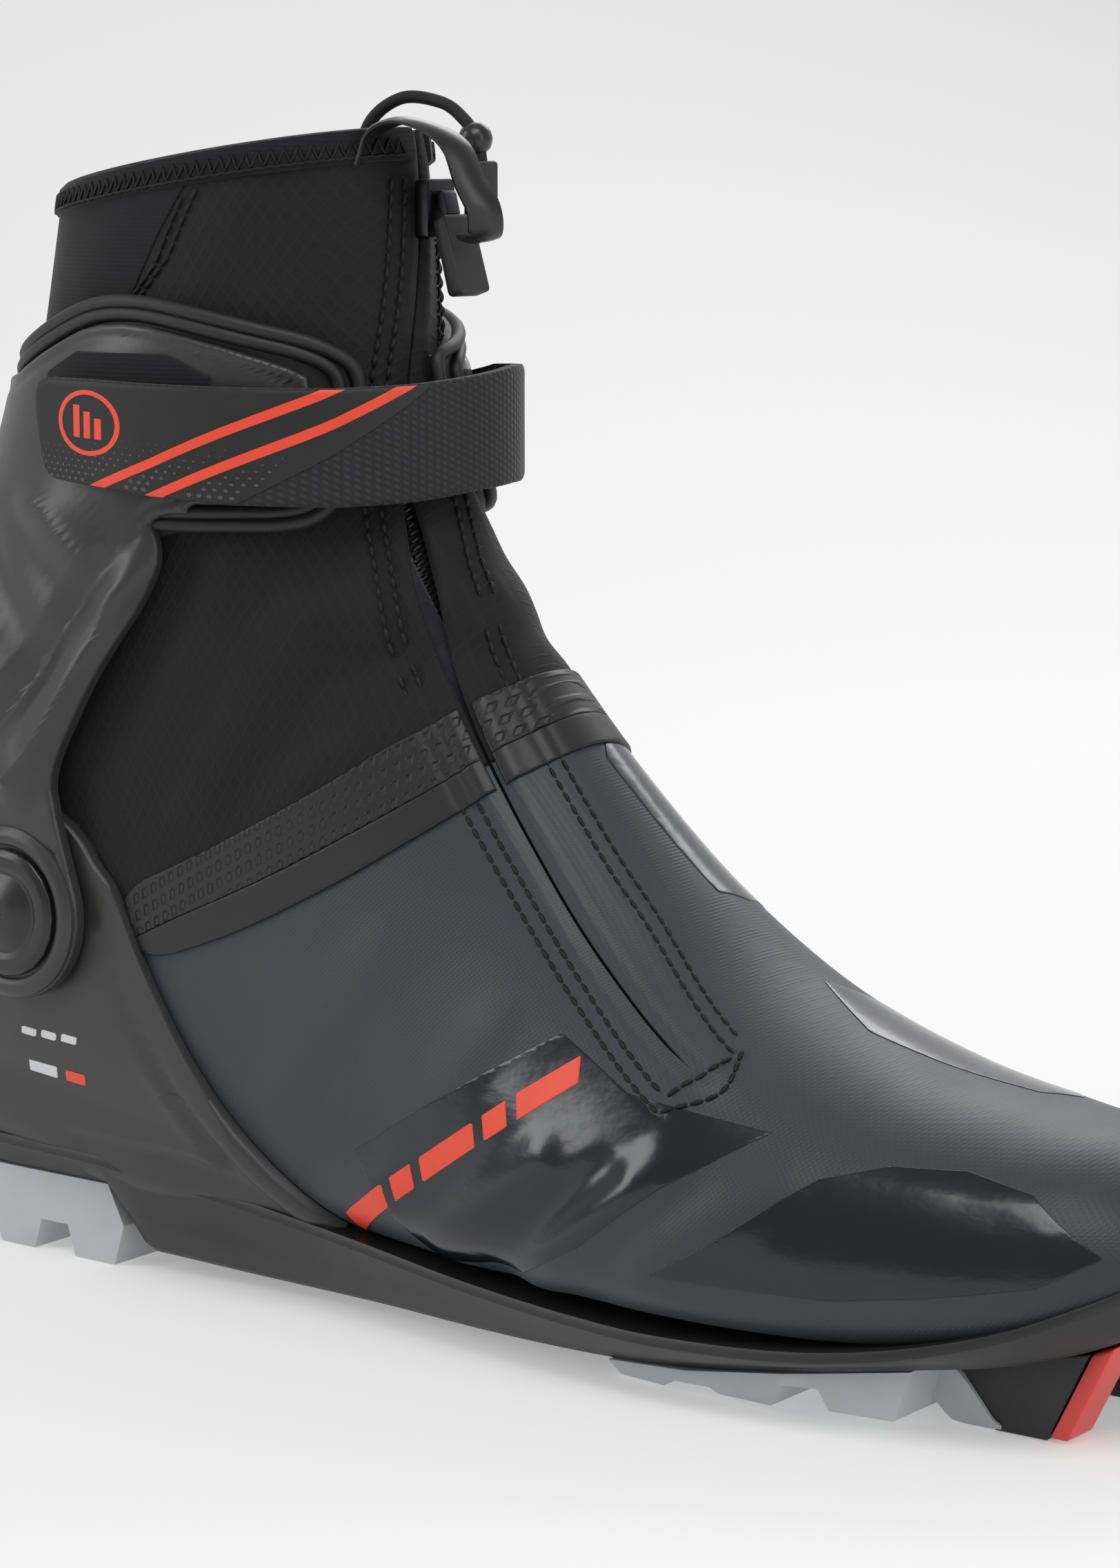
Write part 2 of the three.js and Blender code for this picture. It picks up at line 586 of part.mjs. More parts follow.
// Zipper
const halfZipper = [besideZipper(-ZIPPER_WIDTH / 2), besideZipper(ZIPPER_WIDTH / 2)];
const zipper = (from, to) => strip(...ZIPPER, from, to, ...halfZipper, 2);
add('zipper_lower', zipper(ZIPPER_FROM + 0.06, 9).intersect(solePart), 'zipper');
add('zipper_upper', zipper(8, BINDING_FROM - 0.05).intersect(cuffPart), 'zipper');

// Ankle pivots
for (const side of SIDES) {
  const name = sideName(side);
  const flange = BOLT_FLANGE[name];
  add(`pivot_bolt_${name}`, turned([[0, flange], [BOLT_FLANGE.radius, flange],
    [BOLT_FLANGE.radius, flange + BOLT_FLANGE.thickness], [BOLT_RADIUS, flange + BOLT_FLANGE.thickness],
    [BOLT_RADIUS, 42.2], [0, 42.2]], side), 'steel');
  add(`pivot_washer_${name}`, turned([[BOLT_RADIUS + 0.5, 38.8], [10, 38.8], [10, 39.25],
    [BOLT_RADIUS + 0.5, 39.25], [BOLT_RADIUS + 0.5, 38.8]], side), 'steel');
  add(`pivot_cap_${name}`, turned([[0, 42.5], [12.3, 42.5], [12.3, 43.6], [11, 44.3], [9, 44.3],
    [7.6, 43.7], [6.6, 44.2], [4, 45.4], [1.4, 45.7], [1.2, 44.6], [0, 44.6]], side), 'plastic');
}

// Cuff
const flatCuff = { moveInner: flattened(EAR_PLANE[0]), moveOuter: flattened(EAR_PLANE[1]) };
add('cuff_shell', cuffWall(CUFF, cuffOutline, flatCuff).subtract(boltHoles), 'plastic');
add('cuff_lining', cuffWall(LINING, liningOutline), 'lining');
const patchOutline = [[6, 158], [44, 158], [44, 176], [6, 176]];
add('loop_patch', wall(...LOOP_PATCH, { from: 10, to: 16.6 })
  .intersect(sidePrism(patchOutline, -60, 0)), 'lining');
add('collar_binding', strip(...BINDING, BINDING_FROM, COLLAR, (t) => zipperAngle(t) + 9,
  (t) => zipperAngle(t) + 351, 30), 'gaiter');
add('strap_anchor', box(30, 36, 37, 39, STRAP.bottom, STRAP.top), 'plastic');

// Strap
const strapHalf = STRAP.thickness / 2;
add('strap_webbing', strapBand(0, 1, strapHalf, -strapHalf, [STRAP.bottom, STRAP.top], 30), 'webbing');
add('strap_hook_patch', strapBand(0.78, 0.98, -strapHalf - GAP, -strapHalf - GAP - 0.5,
  [STRAP.bottom + 2, STRAP.top - 2], 6), 'lining');

// Zipper slider with its hinged puller and rubber grip
const SLIDER = skin(SLIDER_AT, zipperAngle(SLIDER_AT), 3);
const sliderHalf = [1.6, 4.2, 5.5];
const slider = new THREE.BoxGeometry(...sliderHalf.map((half) => 2 * half));
add('zipper_slider', toSolid(slider.translate(SLIDER.x, SLIDER.y, SLIDER.z)), 'zipper');
const fromSlider = (outline) => outline.map(([x, z]) => [SLIDER.x + x, SLIDER.z + z]);
add('zipper_puller', sidePrism(fromSlider([[2.3, 3.4], [1.9, 3], [1.9, 0.8], [3.4, -1.6],
  [4.6, -0.8], [3.7, 2.8], [3.2, 3.4]]),
  SLIDER.y - 2, SLIDER.y + 2), 'steel');
add('puller_grip', sidePrism(fromSlider([[2.9, -1.9], [5.4, -0.8], [9.6, -15], [6.6, -16]]),
  SLIDER.y - 4.5, SLIDER.y + 4.5), 'lining');

// Speed-lace cord over the collar, with its bead and tab
add('lace_cord', rod(LACE_ROUTE, 1.2, 14), 'webbing');
const bead = new THREE.SphereGeometry(3.4, 10, 6).translate(...LACE_BEAD);
add('lace_bead', toSolid(bead), 'lining');
add('lace_tab', box(...LACE_TAB), 'lining');

export default boot;
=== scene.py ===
"""Looks of the cross country skate boot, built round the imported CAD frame.

Shape numbers are in millimetres from the floor point under the ankle axis, +X to the
toe, +Y medial, +Z up. place_in_frame() turns them into metres of the shared frame.
"""

import math

import bpy
import numpy as np
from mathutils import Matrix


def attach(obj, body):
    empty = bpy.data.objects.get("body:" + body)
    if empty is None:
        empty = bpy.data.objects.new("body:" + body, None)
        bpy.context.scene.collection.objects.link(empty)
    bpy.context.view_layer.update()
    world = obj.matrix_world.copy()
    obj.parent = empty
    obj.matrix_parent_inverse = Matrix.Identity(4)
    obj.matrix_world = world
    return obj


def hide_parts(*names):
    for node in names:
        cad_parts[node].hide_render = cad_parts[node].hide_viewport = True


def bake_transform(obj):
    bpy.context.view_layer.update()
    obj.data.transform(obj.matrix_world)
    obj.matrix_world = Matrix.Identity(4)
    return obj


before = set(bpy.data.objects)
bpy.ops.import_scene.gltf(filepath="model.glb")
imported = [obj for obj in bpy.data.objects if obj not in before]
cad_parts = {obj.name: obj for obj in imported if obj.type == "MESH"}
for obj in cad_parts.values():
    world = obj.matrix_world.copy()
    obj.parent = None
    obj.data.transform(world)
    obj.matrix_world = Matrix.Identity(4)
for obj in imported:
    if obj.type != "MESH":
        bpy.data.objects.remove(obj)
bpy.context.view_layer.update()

# ---- dimensions
MIDDLE_X = 86.3
ANKLE_X, ANKLE_Z = 0.0, 70.0
FABRIC = 1.6
LATERAL_FRONT, MEDIAL_FRONT = 61, 68  # where the cuff's wings end
COLLAR = 17.0
STRAP_LOW, STRAP_TOP = 148.5, 173.5
EAR_IN, EAR_OUT = 39.5, 42.2
CUFF_IN, CUFF_OUT = 2.8, 5.2
COUNTER_PLANE = 38.6
PATH_LENGTH = 154.0                   # of the strap

# Sections of the upper from toe tip to collar: front or top x, z; back or bottom x, z;
# lateral and medial half width; share of the height where it is widest; upper and lower
# corner exponent; y shift.
SECTIONS = np.array([
    [236.5, 31, 236.5, 29, 6, 6, 0.45, 2.0, 2.0, 3],
    [232, 41, 235, 23, 19, 19, 0.42, 2.2, 2.6, 3],
    [219, 48.5, 225, 18, 29, 28, 0.38, 2.3, 3.2, 2.5],
    [200, 51.5, 205, 14.5, 37, 35, 0.34, 2.3, 3.6, 2],
    [177, 56.5, 177, 12.5, 43, 40, 0.32, 2.2, 3.8, 1],
    [152, 67, 147, 12, 45, 42, 0.3, 2.1, 3.8, 0],
    [130, 84, 114, 12, 42, 39, 0.28, 2.0, 3.6, 0],
    [111, 103, 80, 13, 38.5, 36, 0.29, 2.0, 3.4, 0],
    [96, 120, 44, 16, 37, 35, 0.34, 2.0, 3.2, 0],
    [86, 133, 5, 19, 36.5, 34.5, 0.42, 2.0, 3.0, 0],
    [78, 146, -30, 20.5, 36, 35, 0.48, 2.0, 2.6, 0],
    [72, 157, -55, 29, 36, 35, 0.5, 2.0, 2.3, 0],
    [69, 167, -63.5, 46, 35.5, 34.5, 0.5, 2.0, 2.15, 0],
    [67, 176, -60, 74, 35, 34, 0.5, 2.0, 2.1, 0],
    [66, 186, -47, 102, 34, 33, 0.5, 2.0, 2.1, 0],
    [65, 196, -33, 130, 32.5, 31.5, 0.5, 2.0, 2.1, 0],
    [64, 206, -21, 163, 30, 29, 0.5, 2.0, 2.1, 0],
    [62.5, 217, -13, 205, 27.5, 27, 0.5, 2.0, 2.1, 0],
])
STRAP_PATH = np.array([
    [40.2, 38.2], [52, 36.2], [63, 31.2], [73, 22], [80.5, 10], [81.5, -2], [77, -14], [66, -26],
    [50, -36], [35, -40.2], [21, -41.5], [9, -41.7],
])


def place_in_frame(points):
    return (np.asarray(points, float) - (MIDDLE_X, 0, 0)) * 0.001


# ---- surfaces
def spline(table, at):
    """Rows of a table at fractional row numbers, on a Catmull-Rom spline."""
    at = np.asarray(at, float)
    last = len(table) - 1
    i = np.clip(np.floor(at).astype(int), 0, last - 1)
    f = (at - i)[..., None]
    b, c = table[i], table[i + 1]
    a = np.where((i == 0)[..., None], 2 * b - c, table[np.maximum(i - 1, 0)])
    d = np.where((i == last - 1)[..., None], 2 * c - b, table[np.minimum(i + 2, last)])
    inside = 0.5 * (2 * b + (c - a) * f + (2 * a - 5 * b + 4 * c - d) * f ** 2
                    + (3 * b - a - 3 * c + d) * f ** 3)
    beyond = table[-1] + (table[-1] - table[-2]) * (at[..., None] - last)
    return np.where((at > last)[..., None], beyond, inside)


def skin_point(t, angle):
    fx, fz, bx, bz, lateral, medial, share, upper, lower, shift = np.moveaxis(spline(SECTIONS, t), -1, 0)
    sine, cosine = np.sin(np.radians(angle)), np.cos(np.radians(angle))
    exponent = 2 / np.where(sine >= 0, upper, lower)
    along = share + np.where(sine >= 0, 1 - share, share) * np.sign(sine) * abs(sine) ** exponent
    side = np.sign(cosine) * abs(cosine) ** exponent
    return np.stack([bx + (fx - bx) * along, shift + np.where(cosine >= 0, medial, lateral) * side,
                     bz + (fz - bz) * along], -1)


def skin_normal(t, angle):
    along = skin_point(t + 0.02, angle) - skin_point(np.maximum(t - 0.02, 0), angle)
    around = skin_point(t, angle + 0.5) - skin_point(t, angle - 0.5)
    normal = np.cross(along, around)
    return normal / np.linalg.norm(normal, axis=-1, keepdims=True)


def on_skin(u, v, offset):
    return skin_point(u, v) + skin_normal(u, v) * np.asarray(offset)[..., None]


def smoothstep(value, low, high):
    share = np.clip((value - low) / (high - low), 0, 1)
    return share * share * (3 - 2 * share)


def on_cuff(u, v, offset):
    """Skin surface that goes flat round the ankle axis."""
    offset = np.asarray(offset, float) + np.zeros_like(u)
    point = on_skin(u, v, offset)
    radius = np.hypot(point[..., 0] - ANKLE_X, point[..., 2] - ANKLE_Z)
    share = smoothstep(radius, 45, 68)
    plane = EAR_IN + (offset - CUFF_IN) / (CUFF_OUT - CUFF_IN) * (EAR_OUT - EAR_IN)
    flat = np.sign(point[..., 1]) * plane
    bent = flat + (point[..., 1] - flat) * share
    point[..., 1] = np.where(abs(point[..., 1]) > 25, bent, point[..., 1])
    return point


def on_counter(u, v, offset):
    point = on_skin(u, v, offset)
    point[..., 1] = np.clip(point[..., 1], -COUNTER_PLANE, COUNTER_PLANE)
    return point


# Upper and lower edge of the strap along its path: millimetres from its anchor, z, z
STRAP_EDGES = np.array([
    [0, 151, 173.4], [57, 151.9, 173.4], [70, 151.2, 172.2], [85, 149.6, 170.9], [97, 148.8, 170.3],
    [110, 149.1, 170.4], [125, 150.2, 170.8], [137, 151.5, 171.3], [154, 152.8, 171.8],
])


def on_strap(u, v, offset):
    """Strap: u is the share of its path from the medial anchor, v its nominal height."""
    travelled = np.asarray(u) * PATH_LENGTH
    low = np.interp(travelled, STRAP_EDGES[:, 0], STRAP_EDGES[:, 1])
    high = np.interp(travelled, STRAP_EDGES[:, 0], STRAP_EDGES[:, 2])
    v = low + (np.asarray(v) - STRAP_LOW) / (STRAP_TOP - STRAP_LOW) * (high - low)
    at = np.asarray(u) * (len(STRAP_PATH) - 1)
    point = spline(STRAP_PATH, at)
    tangent = spline(STRAP_PATH, at + 0.02) - spline(STRAP_PATH, at - 0.02)
    tangent /= np.linalg.norm(tangent, axis=-1, keepdims=True)
    offset = np.asarray(offset, float) + np.zeros_like(at)
    return np.stack([point[..., 0] - tangent[..., 1] * offset,
                     point[..., 1] + tangent[..., 0] * offset, v + np.zeros_like(at)], -1)


def grid(us, vs):
    u, v = np.meshgrid(us, vs, indexing="ij")
    index = np.arange(u.size).reshape(u.shape)
    a, b, c, d = index[:-1, :-1], index[1:, :-1], index[1:, 1:], index[:-1, 1:]
    halves = [np.stack([a, b, c], -1), np.stack([a, c, d], -1)]
    return np.stack([u.ravel(), v.ravel()], -1), np.concatenate([h.reshape(-1, 3) for h in halves])


def spread(values):
    """A (low, high, count) triple as evenly spaced numbers; an array stays as it is."""
    return np.linspace(*values) if isinstance(values, tuple) else values


def cut(params, tris, level, drop=True):
    """Splits triangles where level(params) is zero. With drop, the negative side goes."""
    value = level(params)
    value = np.where(abs(value) < 1e-5, 1e-5, value)
    plus = value > 0
    count = plus[tris].sum(1)
    crossing = tris[(count == 1) | (count == 2)]
    odd_is_plus = (plus[crossing].sum(1) == 1)[:, None]
    odd = np.argmax(plus[crossing] == odd_is_plus, axis=1)
    order = (odd[:, None] + np.arange(3)) % 3
    p, q, r = np.take_along_axis(crossing, order, 1).T
    edges = np.concatenate([np.stack([p, q], 1), np.stack([p, r], 1)])
    unique, inverse = np.unique(np.sort(edges, 1), axis=0, return_inverse=True)
    inverse = inverse.ravel()
    a, b = params[unique[:, 0]], params[unique[:, 1]]
    va, vb = value[unique[:, 0]], value[unique[:, 1]]
    low, high = np.zeros(len(a)), np.ones(len(a))
    share = va / (va - vb) if len(a) else low
    for _ in range(3):
        middle = level(a + (b - a) * share[:, None]) if len(a) else low
        same = np.sign(middle) == np.sign(va)
        low, high = np.where(same, share, low), np.where(same, high, share)
        value_low, value_high = np.where(same, middle, va), np.where(same, vb, middle)
        va, vb = value_low, value_high
        share = np.clip(low + (high - low) * va / np.where(va == vb, 1, va - vb), 0.02, 0.98)
    points = a + (b - a) * share[:, None]
    m = len(params) + inverse
    pq, pr = m[:len(p)], m[len(p):]
    odd_part = np.stack([p, pq, pr], 1)
    even_part = np.concatenate([np.stack([pq, q, r], 1), np.stack([pq, r, pr], 1)])
    keep_odd = odd_is_plus.ravel()
    parts = [tris[count == 3]]
    if drop:
        parts += [odd_part[keep_odd], even_part[np.tile(~keep_odd, 2)]]
    else:
        parts += [tris[count == 0], odd_part, even_part]
    return np.concatenate([params, points]), np.concatenate(parts)


def patch(name, surface, us, vs, regions, inner, outer, rounding=0.6, relief=None, unit=None, smooth=40,
          warp=None, edges=()):
    """Closed shell over the part of a surface where every region is positive, its outer edge
    rounded. Regions take (point, u, v) and give millimetres inside the edge; edges do the same
    for the borders of the grid. warp turns the grid's second number into v. The UV map is in
    metres: the side view, or `unit` millimetres along v and u. us and vs are arrays, or
    (low, high, count)."""
    params, tris = grid(spread(us), spread(vs))
    if warp:
        params[:, 1] = warp(params[:, 0], params[:, 1])

    def level(region, depth):
        def values(at):
            u, v = at[:, 0], at[:, 1]
            return region(surface(u, v, 0.5 * (inner + outer) + np.zeros_like(u)), u, v) - depth
        return values

    for region in regions:
        params, tris = cut(params, tris, level(region, 0))
    if rounding:
        for region in regions:
            for depth in (0.12 * rounding, 0.45 * rounding, rounding):
                params, tris = cut(params, tris, level(region, depth), drop=False)
    used, tris = np.unique(tris, return_inverse=True)
    tris = tris.reshape(-1, 3)
    params = params[used]
    u, v = params[:, 0], params[:, 1]
    base = surface(u, v, 0.5 * (inner + outer) + np.zeros_like(u))
    depth = np.full(len(u), 1e3)
    for region in (*regions, *edges):
        depth = np.minimum(depth, np.maximum(region(base, u, v), 0))
    share = np.minimum(depth / rounding, 1) if rounding else np.ones(len(u))
    drop = (1 - np.sqrt(np.maximum(1 - (1 - share) ** 2, 0))) * min(rounding, 0.9 * (outer - inner))
    lift = relief(base, u, v, depth) if relief else 0
    top = surface(u, v, outer - drop + lift)
    bottom = surface(u, v, inner + (lift if outer - inner < 2 else 0) + np.zeros_like(u))
    scale = (1, 1) if unit is None else unit
    uv = np.stack([v * scale[0], u * scale[1]], 1) if unit else np.stack([base[:, 0], base[:, 2]], 1)
    return shell(name, top, bottom, tris, uv * 0.001, smooth)


def shell(name, top, bottom, tris, uv, smooth=40):
    corner_uv = uv[tris]
    keys = np.round(top, 4)
    _, first, weld = np.unique(keys, axis=0, return_index=True, return_inverse=True)
    weld = weld.ravel()
    top, bottom = top[first], bottom[first]
    tris = weld[tris]
    good = (tris[:, 0] != tris[:, 1]) & (tris[:, 1] != tris[:, 2]) & (tris[:, 2] != tris[:, 0])
    tris, corner_uv = tris[good], corner_uv[good]
    normals = np.cross(top[tris[:, 1]] - top[tris[:, 0]], top[tris[:, 2]] - top[tris[:, 0]])
    if (normals * (top - bottom)[tris[:, 0]]).sum() < 0:
        tris, corner_uv = tris[:, ::-1], corner_uv[:, ::-1]
    count = len(top)
    edges = np.concatenate([tris[:, [0, 1]], tris[:, [1, 2]], tris[:, [2, 0]]])
    edge_uv = np.concatenate([corner_uv[:, [0, 1]], corner_uv[:, [1, 2]], corner_uv[:, [2, 0]]])
    codes = edges[:, 0] * count + edges[:, 1]
    rim = ~np.isin(codes, edges[:, 1] * count + edges[:, 0])
    a, b = edges[rim, 0], edges[rim, 1]
    side = np.concatenate([np.stack([b, a, a + count], 1), np.stack([b, a + count, b + count], 1)])
    ruv = edge_uv[rim]
    side_uv = np.concatenate([ruv[:, [1, 0, 0]], ruv[:, [1, 0, 1]]])
    faces = np.concatenate([tris, tris[:, ::-1] + count, side])
    uvs = np.concatenate([corner_uv, corner_uv[:, ::-1], side_uv])
    return mesh_object(name, np.concatenate([top, bottom]), faces, uvs, smooth)


def mesh_object(name, points, faces, uvs=None, smooth=40):
    """Mesh object from points in working millimetres."""
    mesh = bpy.data.meshes.new(name)
    if isinstance(faces, np.ndarray):
        faces = faces.tolist()
    mesh.from_pydata(place_in_frame(points).tolist(), [], faces)
    if uvs is not None:
        layer = mesh.uv_layers.new(name="cloth")
        layer.data.foreach_set("uv", np.asarray(uvs, float).ravel())
    mesh.validate()
    mesh.shade_smooth()
    if smooth:
        mesh.set_sharp_from_angle(angle=math.radians(smooth))
    piece = bpy.data.objects.new(name, mesh)
    bpy.context.scene.collection.objects.link(piece)
    return piece


def ring_faces(rings, sides, wrap=False, flip=False):
    """Quads between neighbouring rings of `sides` points each; wrap joins the last to the first."""
    faces = []
    for i in range(rings if wrap else rings - 1):
        a, b = i * sides, (i + 1) % rings * sides
        for j in range(sides):
            n = (j + 1) % sides
            faces.append([a + j, b + j, b + n, a + n] if flip else [a + j, a + n, b + n, b + j])
    return faces


def travel(points):
    """Distance travelled at each point of a line."""
    return np.concatenate([[0], np.cumsum(np.linalg.norm(np.diff(points, axis=0), axis=1))])


def tube(points, normals, radius, sides=7):
    """Vertices and faces of a tube along points."""
    points = np.asarray(points, float)
    tangent = np.gradient(points, axis=0)
    tangent /= np.linalg.norm(tangent, axis=1, keepdims=True)
    up = normals - (normals * tangent).sum(1, keepdims=True) * tangent
    up /= np.linalg.norm(up, axis=1, keepdims=True)
    across = np.cross(tangent, up)
    radius = np.broadcast_to(radius, len(points))
    angles = np.linspace(0, 2 * math.pi, sides, endpoint=False)
    rings = (points[:, None] + radius[:, None, None] * (np.cos(angles)[None, :, None] * across[:, None]
             + np.sin(angles)[None, :, None] * up[:, None]))
    caps = [list(range(sides))[::-1], [(len(points) - 1) * sides + j for j in range(sides)]]
    return rings.reshape(-1, 3), ring_faces(len(points), sides) + caps


def tubes_object(name, tubes):
    """One mesh from many tubes."""
    points, faces = [], []
    for verts, quads in tubes:
        faces += [[index + len(points) for index in quad] for quad in quads]
        points += verts.tolist()
    return mesh_object(name, points, faces, smooth=60)


# ---- regions
def rounded(outline, passes=2, closed=True):
    """Chaikin corner cutting of a polyline."""
    points = np.asarray(outline, float)
    for _ in range(passes):
        following = np.roll(points, -1, axis=0) if closed else points[1:]
        current = points if closed else points[:-1]
        near, far = 0.78 * current + 0.22 * following, 0.22 * current + 0.78 * following
        stacked = np.stack([near, far], 1).reshape(-1, 2)
        points = stacked if closed else np.concatenate([points[:1], stacked, points[-1:]])
    return points


def edge_distance(xy, outline):
    """Distance to a closed outline, positive inside it."""
    outline = np.asarray(outline, float)
    best = np.full(len(xy), 1e9)
    inside = np.zeros(len(xy), bool)
    for a, b in zip(outline, np.roll(outline, -1, axis=0)):
        along = b - a
        length = max(float(along @ along), 1e-9)
        share = np.clip(((xy - a) @ along) / length, 0, 1)
        best = np.minimum(best, np.linalg.norm(xy - a - share[:, None] * along, axis=1))
        if a[1] != b[1]:
            crosses = (a[1] > xy[:, 1]) != (b[1] > xy[:, 1])
            at = a[0] + (xy[:, 1] - a[1]) / (b[1] - a[1]) * (b[0] - a[0])
            inside ^= crosses & (xy[:, 0] < at)
    return np.where(inside, best, -best)


def side_view(outline, passes=2):
    outline = rounded(outline, passes)
    return lambda point, u, v: edge_distance(point[:, [0, 2]], outline)


def plan_view(outline):
    outline = np.asarray(outline, float)
    return lambda point, u, v: edge_distance(point[:, [0, 1]], outline)


def outside(region):
    return lambda point, u, v: -region(point, u, v)


def any_of(*regions):
    return lambda point, u, v: np.max([region(point, u, v) for region in regions], axis=0)


def lateral_only(point, u, v):
    return -point[:, 1] - 0.5


def line_points(curve, count=90):
    """Points along a line on the skin, given as (t, angle) pairs."""
    curve = np.asarray(curve, float)
    at = np.linspace(0, len(curve) - 1, count)
    dense = spline(curve, at)
    return dense, skin_point(dense[:, 0], dense[:, 1])


def line_distance(curve):
    _, points = line_points(curve)

    def distance(point):
        best = np.full(len(point), 1e9)
        for a, b in zip(points[:-1], points[1:]):
            along = b - a
            share = np.clip(((point - a) @ along) / max(float(along @ along), 1e-9), 0, 1)
            best = np.minimum(best, np.linalg.norm(point - a - share[:, None] * along, axis=1))
        return best
    return distance


def zipper_angle(t):
    return 78 + 56 * (np.maximum(COLLAR - np.asarray(t, float), 0) / 12) ** 1.1


ZIPPER_LINE = [(t, float(zipper_angle(t))) for t in np.linspace(5.0, 17.6, 26)]
zipper_distance = line_distance(ZIPPER_LINE)


def slit_half(u):
    """Half width of the zipper slit, which gapes where the ankle bends."""
    gape = 1.7 * np.exp(-((u - 9.6) / 1.1) ** 2) + 0.35 * smoothstep(u, 14, 17)
    return (0.32 + gape) * smoothstep(u, 5.02, 5.3)


def clear_of_slit(point, u, v):
    return zipper_distance(point) - slit_half(u)


def from_lip_to_lip(u, share):
    """Angle at a share of the way round the section, from one lip of the slit to the other."""
    middle = zipper_angle(u)
    per_degree = np.linalg.norm(skin_point(u, middle + 0.5) - skin_point(u, middle - 0.5), axis=-1)
    half = slit_half(u) / np.maximum(per_degree, 0.1)
    return middle + half + share * (360 - 2 * half)


LIP_STEPS = np.array([0, 0.1, 0.25, 0.5, 0.85, 1.3, 1.9]) / 0.65 / 360
LIP_SHARES = np.concatenate([LIP_STEPS, np.linspace(0.012, 0.988, 190), 1 - LIP_STEPS[::-1]])


# ---- materials
class Shader:
    """Principled material with helpers for its procedural nodes."""

    def __init__(self, name, colour, roughness, **settings):
        self.material = bpy.data.materials.new(name)
        self.material.use_nodes = True
        self.tree = self.material.node_tree
        self.shader = self.tree.nodes["Principled BSDF"]
        self.coordinates = self.tree.nodes.new("ShaderNodeTexCoord")
        self.bump = None
        self.shader.inputs["Base Color"].default_value = (*colour, 1)
        self.shader.inputs["Roughness"].default_value = roughness
        for key, value in settings.items():
            self.shader.inputs[key.replace("_", " ")].default_value = value
        self.colour = colour

    def node(self, kind, **values):
        node = self.tree.nodes.new(kind)
        for key, value in values.items():
            if key in node.inputs:
                node.inputs[key].default_value = value
            else:
                setattr(node, key, value)
        return node

    def link(self, source, target):
        self.tree.links.new(source, target)

    def mapped(self, space, scale=(1, 1, 1), turn=0.0):
        mapping = self.node("ShaderNodeMapping", Scale=scale, Rotation=(0, 0, math.radians(turn)))
        self.link(self.coordinates.outputs[space], mapping.inputs["Vector"])
        return mapping.outputs["Vector"]

    def noise(self, size, detail=3.0, stretch=(1, 1, 1)):
        """Cloudy value with features about `size` metres across."""
        noise = self.node("ShaderNodeTexNoise", Scale=1 / size, Detail=detail)
        self.link(self.mapped("Object", stretch), noise.inputs["Vector"])
        return noise.outputs["Fac"]

    def bands(self, period, turn=0.0):
        """Stripes `period` metres apart on the UV map, turned by degrees."""
        wave = self.node("ShaderNodeTexWave", Scale=0.314 / period, Distortion=0.0)
        self.link(self.mapped("UV", turn=turn), wave.inputs["Vector"])
        return wave.outputs["Fac"]

    def cells(self, size):
        cells = self.node("ShaderNodeTexVoronoi", feature="F1", Scale=1 / size)
        self.link(self.mapped("Object"), cells.inputs["Vector"])
        return cells.outputs["Distance"]

    def math(self, operation, a, b):
        node = self.node("ShaderNodeMath", operation=operation)
        for socket, value in zip(node.inputs, (a, b)):
            if isinstance(value, (int, float)):
                socket.default_value = value
            else:
                self.link(value, socket)
        return node.outputs[0]

    def ramp(self, value, low, high, to_low=0.0, to_high=1.0):
        node = self.node("ShaderNodeMapRange", clamp=True)
        for key, number in zip(("From Min", "From Max", "To Min", "To Max"), (low, high, to_low, to_high)):
            node.inputs[key].default_value = number
        self.link(value, node.inputs["Value"])
        return node.outputs["Result"]

    def raise_by(self, height, distance, strength):
        """Adds a bump layer, `distance` metres tall."""
        bump = self.node("ShaderNodeBump", Strength=strength, Distance=distance)
        self.link(height, bump.inputs["Height"])
        if self.bump:
            self.link(self.bump, bump.inputs["Normal"])
        self.bump = bump.outputs["Normal"]
        self.link(self.bump, self.shader.inputs["Normal"])

    def tint(self, factor, gain):
        """Mixes `gain` times the material's colour into its base colour by a factor."""
        mix = self.node("ShaderNodeMix", data_type="RGBA")
        base = self.shader.inputs["Base Color"]
        if base.is_linked:
            self.link(base.links[0].from_socket, mix.inputs[6])
        else:
            mix.inputs[6].default_value = base.default_value
        mix.inputs[7].default_value = (*(min(channel * gain, 1) for channel in self.colour), 1)
        self.link(factor, mix.inputs["Factor"])
        self.link(mix.outputs[2], base)

    def cloud(self, size, low, high, amount, gain, detail=3.0):
        """Cloudy change of colour, to `gain` times the base colour at most."""
        self.tint(self.ramp(self.noise(size, detail), low, high, 0, amount), gain)

    def grain(self, size, detail, distance, strength=0.5):
        self.raise_by(self.noise(size, detail), distance, strength)

    def vary_roughness(self, size, low, high, detail=3.0):
        self.link(self.ramp(self.noise(size, detail), 0, 1, low, high), self.shader.inputs["Roughness"])


def softshell():
    s = Shader("softshell", (0.031, 0.035, 0.0435), 0.46, Sheen_Weight=0.06, Sheen_Roughness=0.5,
               Specular_IOR_Level=0.36)
    s.cloud(0.035, 0.35, 0.75, 0.5, 1.25)
    s.raise_by(s.math("MULTIPLY", s.bands(0.0007, 45), s.bands(0.0007, -45)), 0.00006, 0.5)
    s.grain(0.0012, 4, 0.00005)
    s.vary_roughness(0.02, 0.38, 0.52)
    return s.material


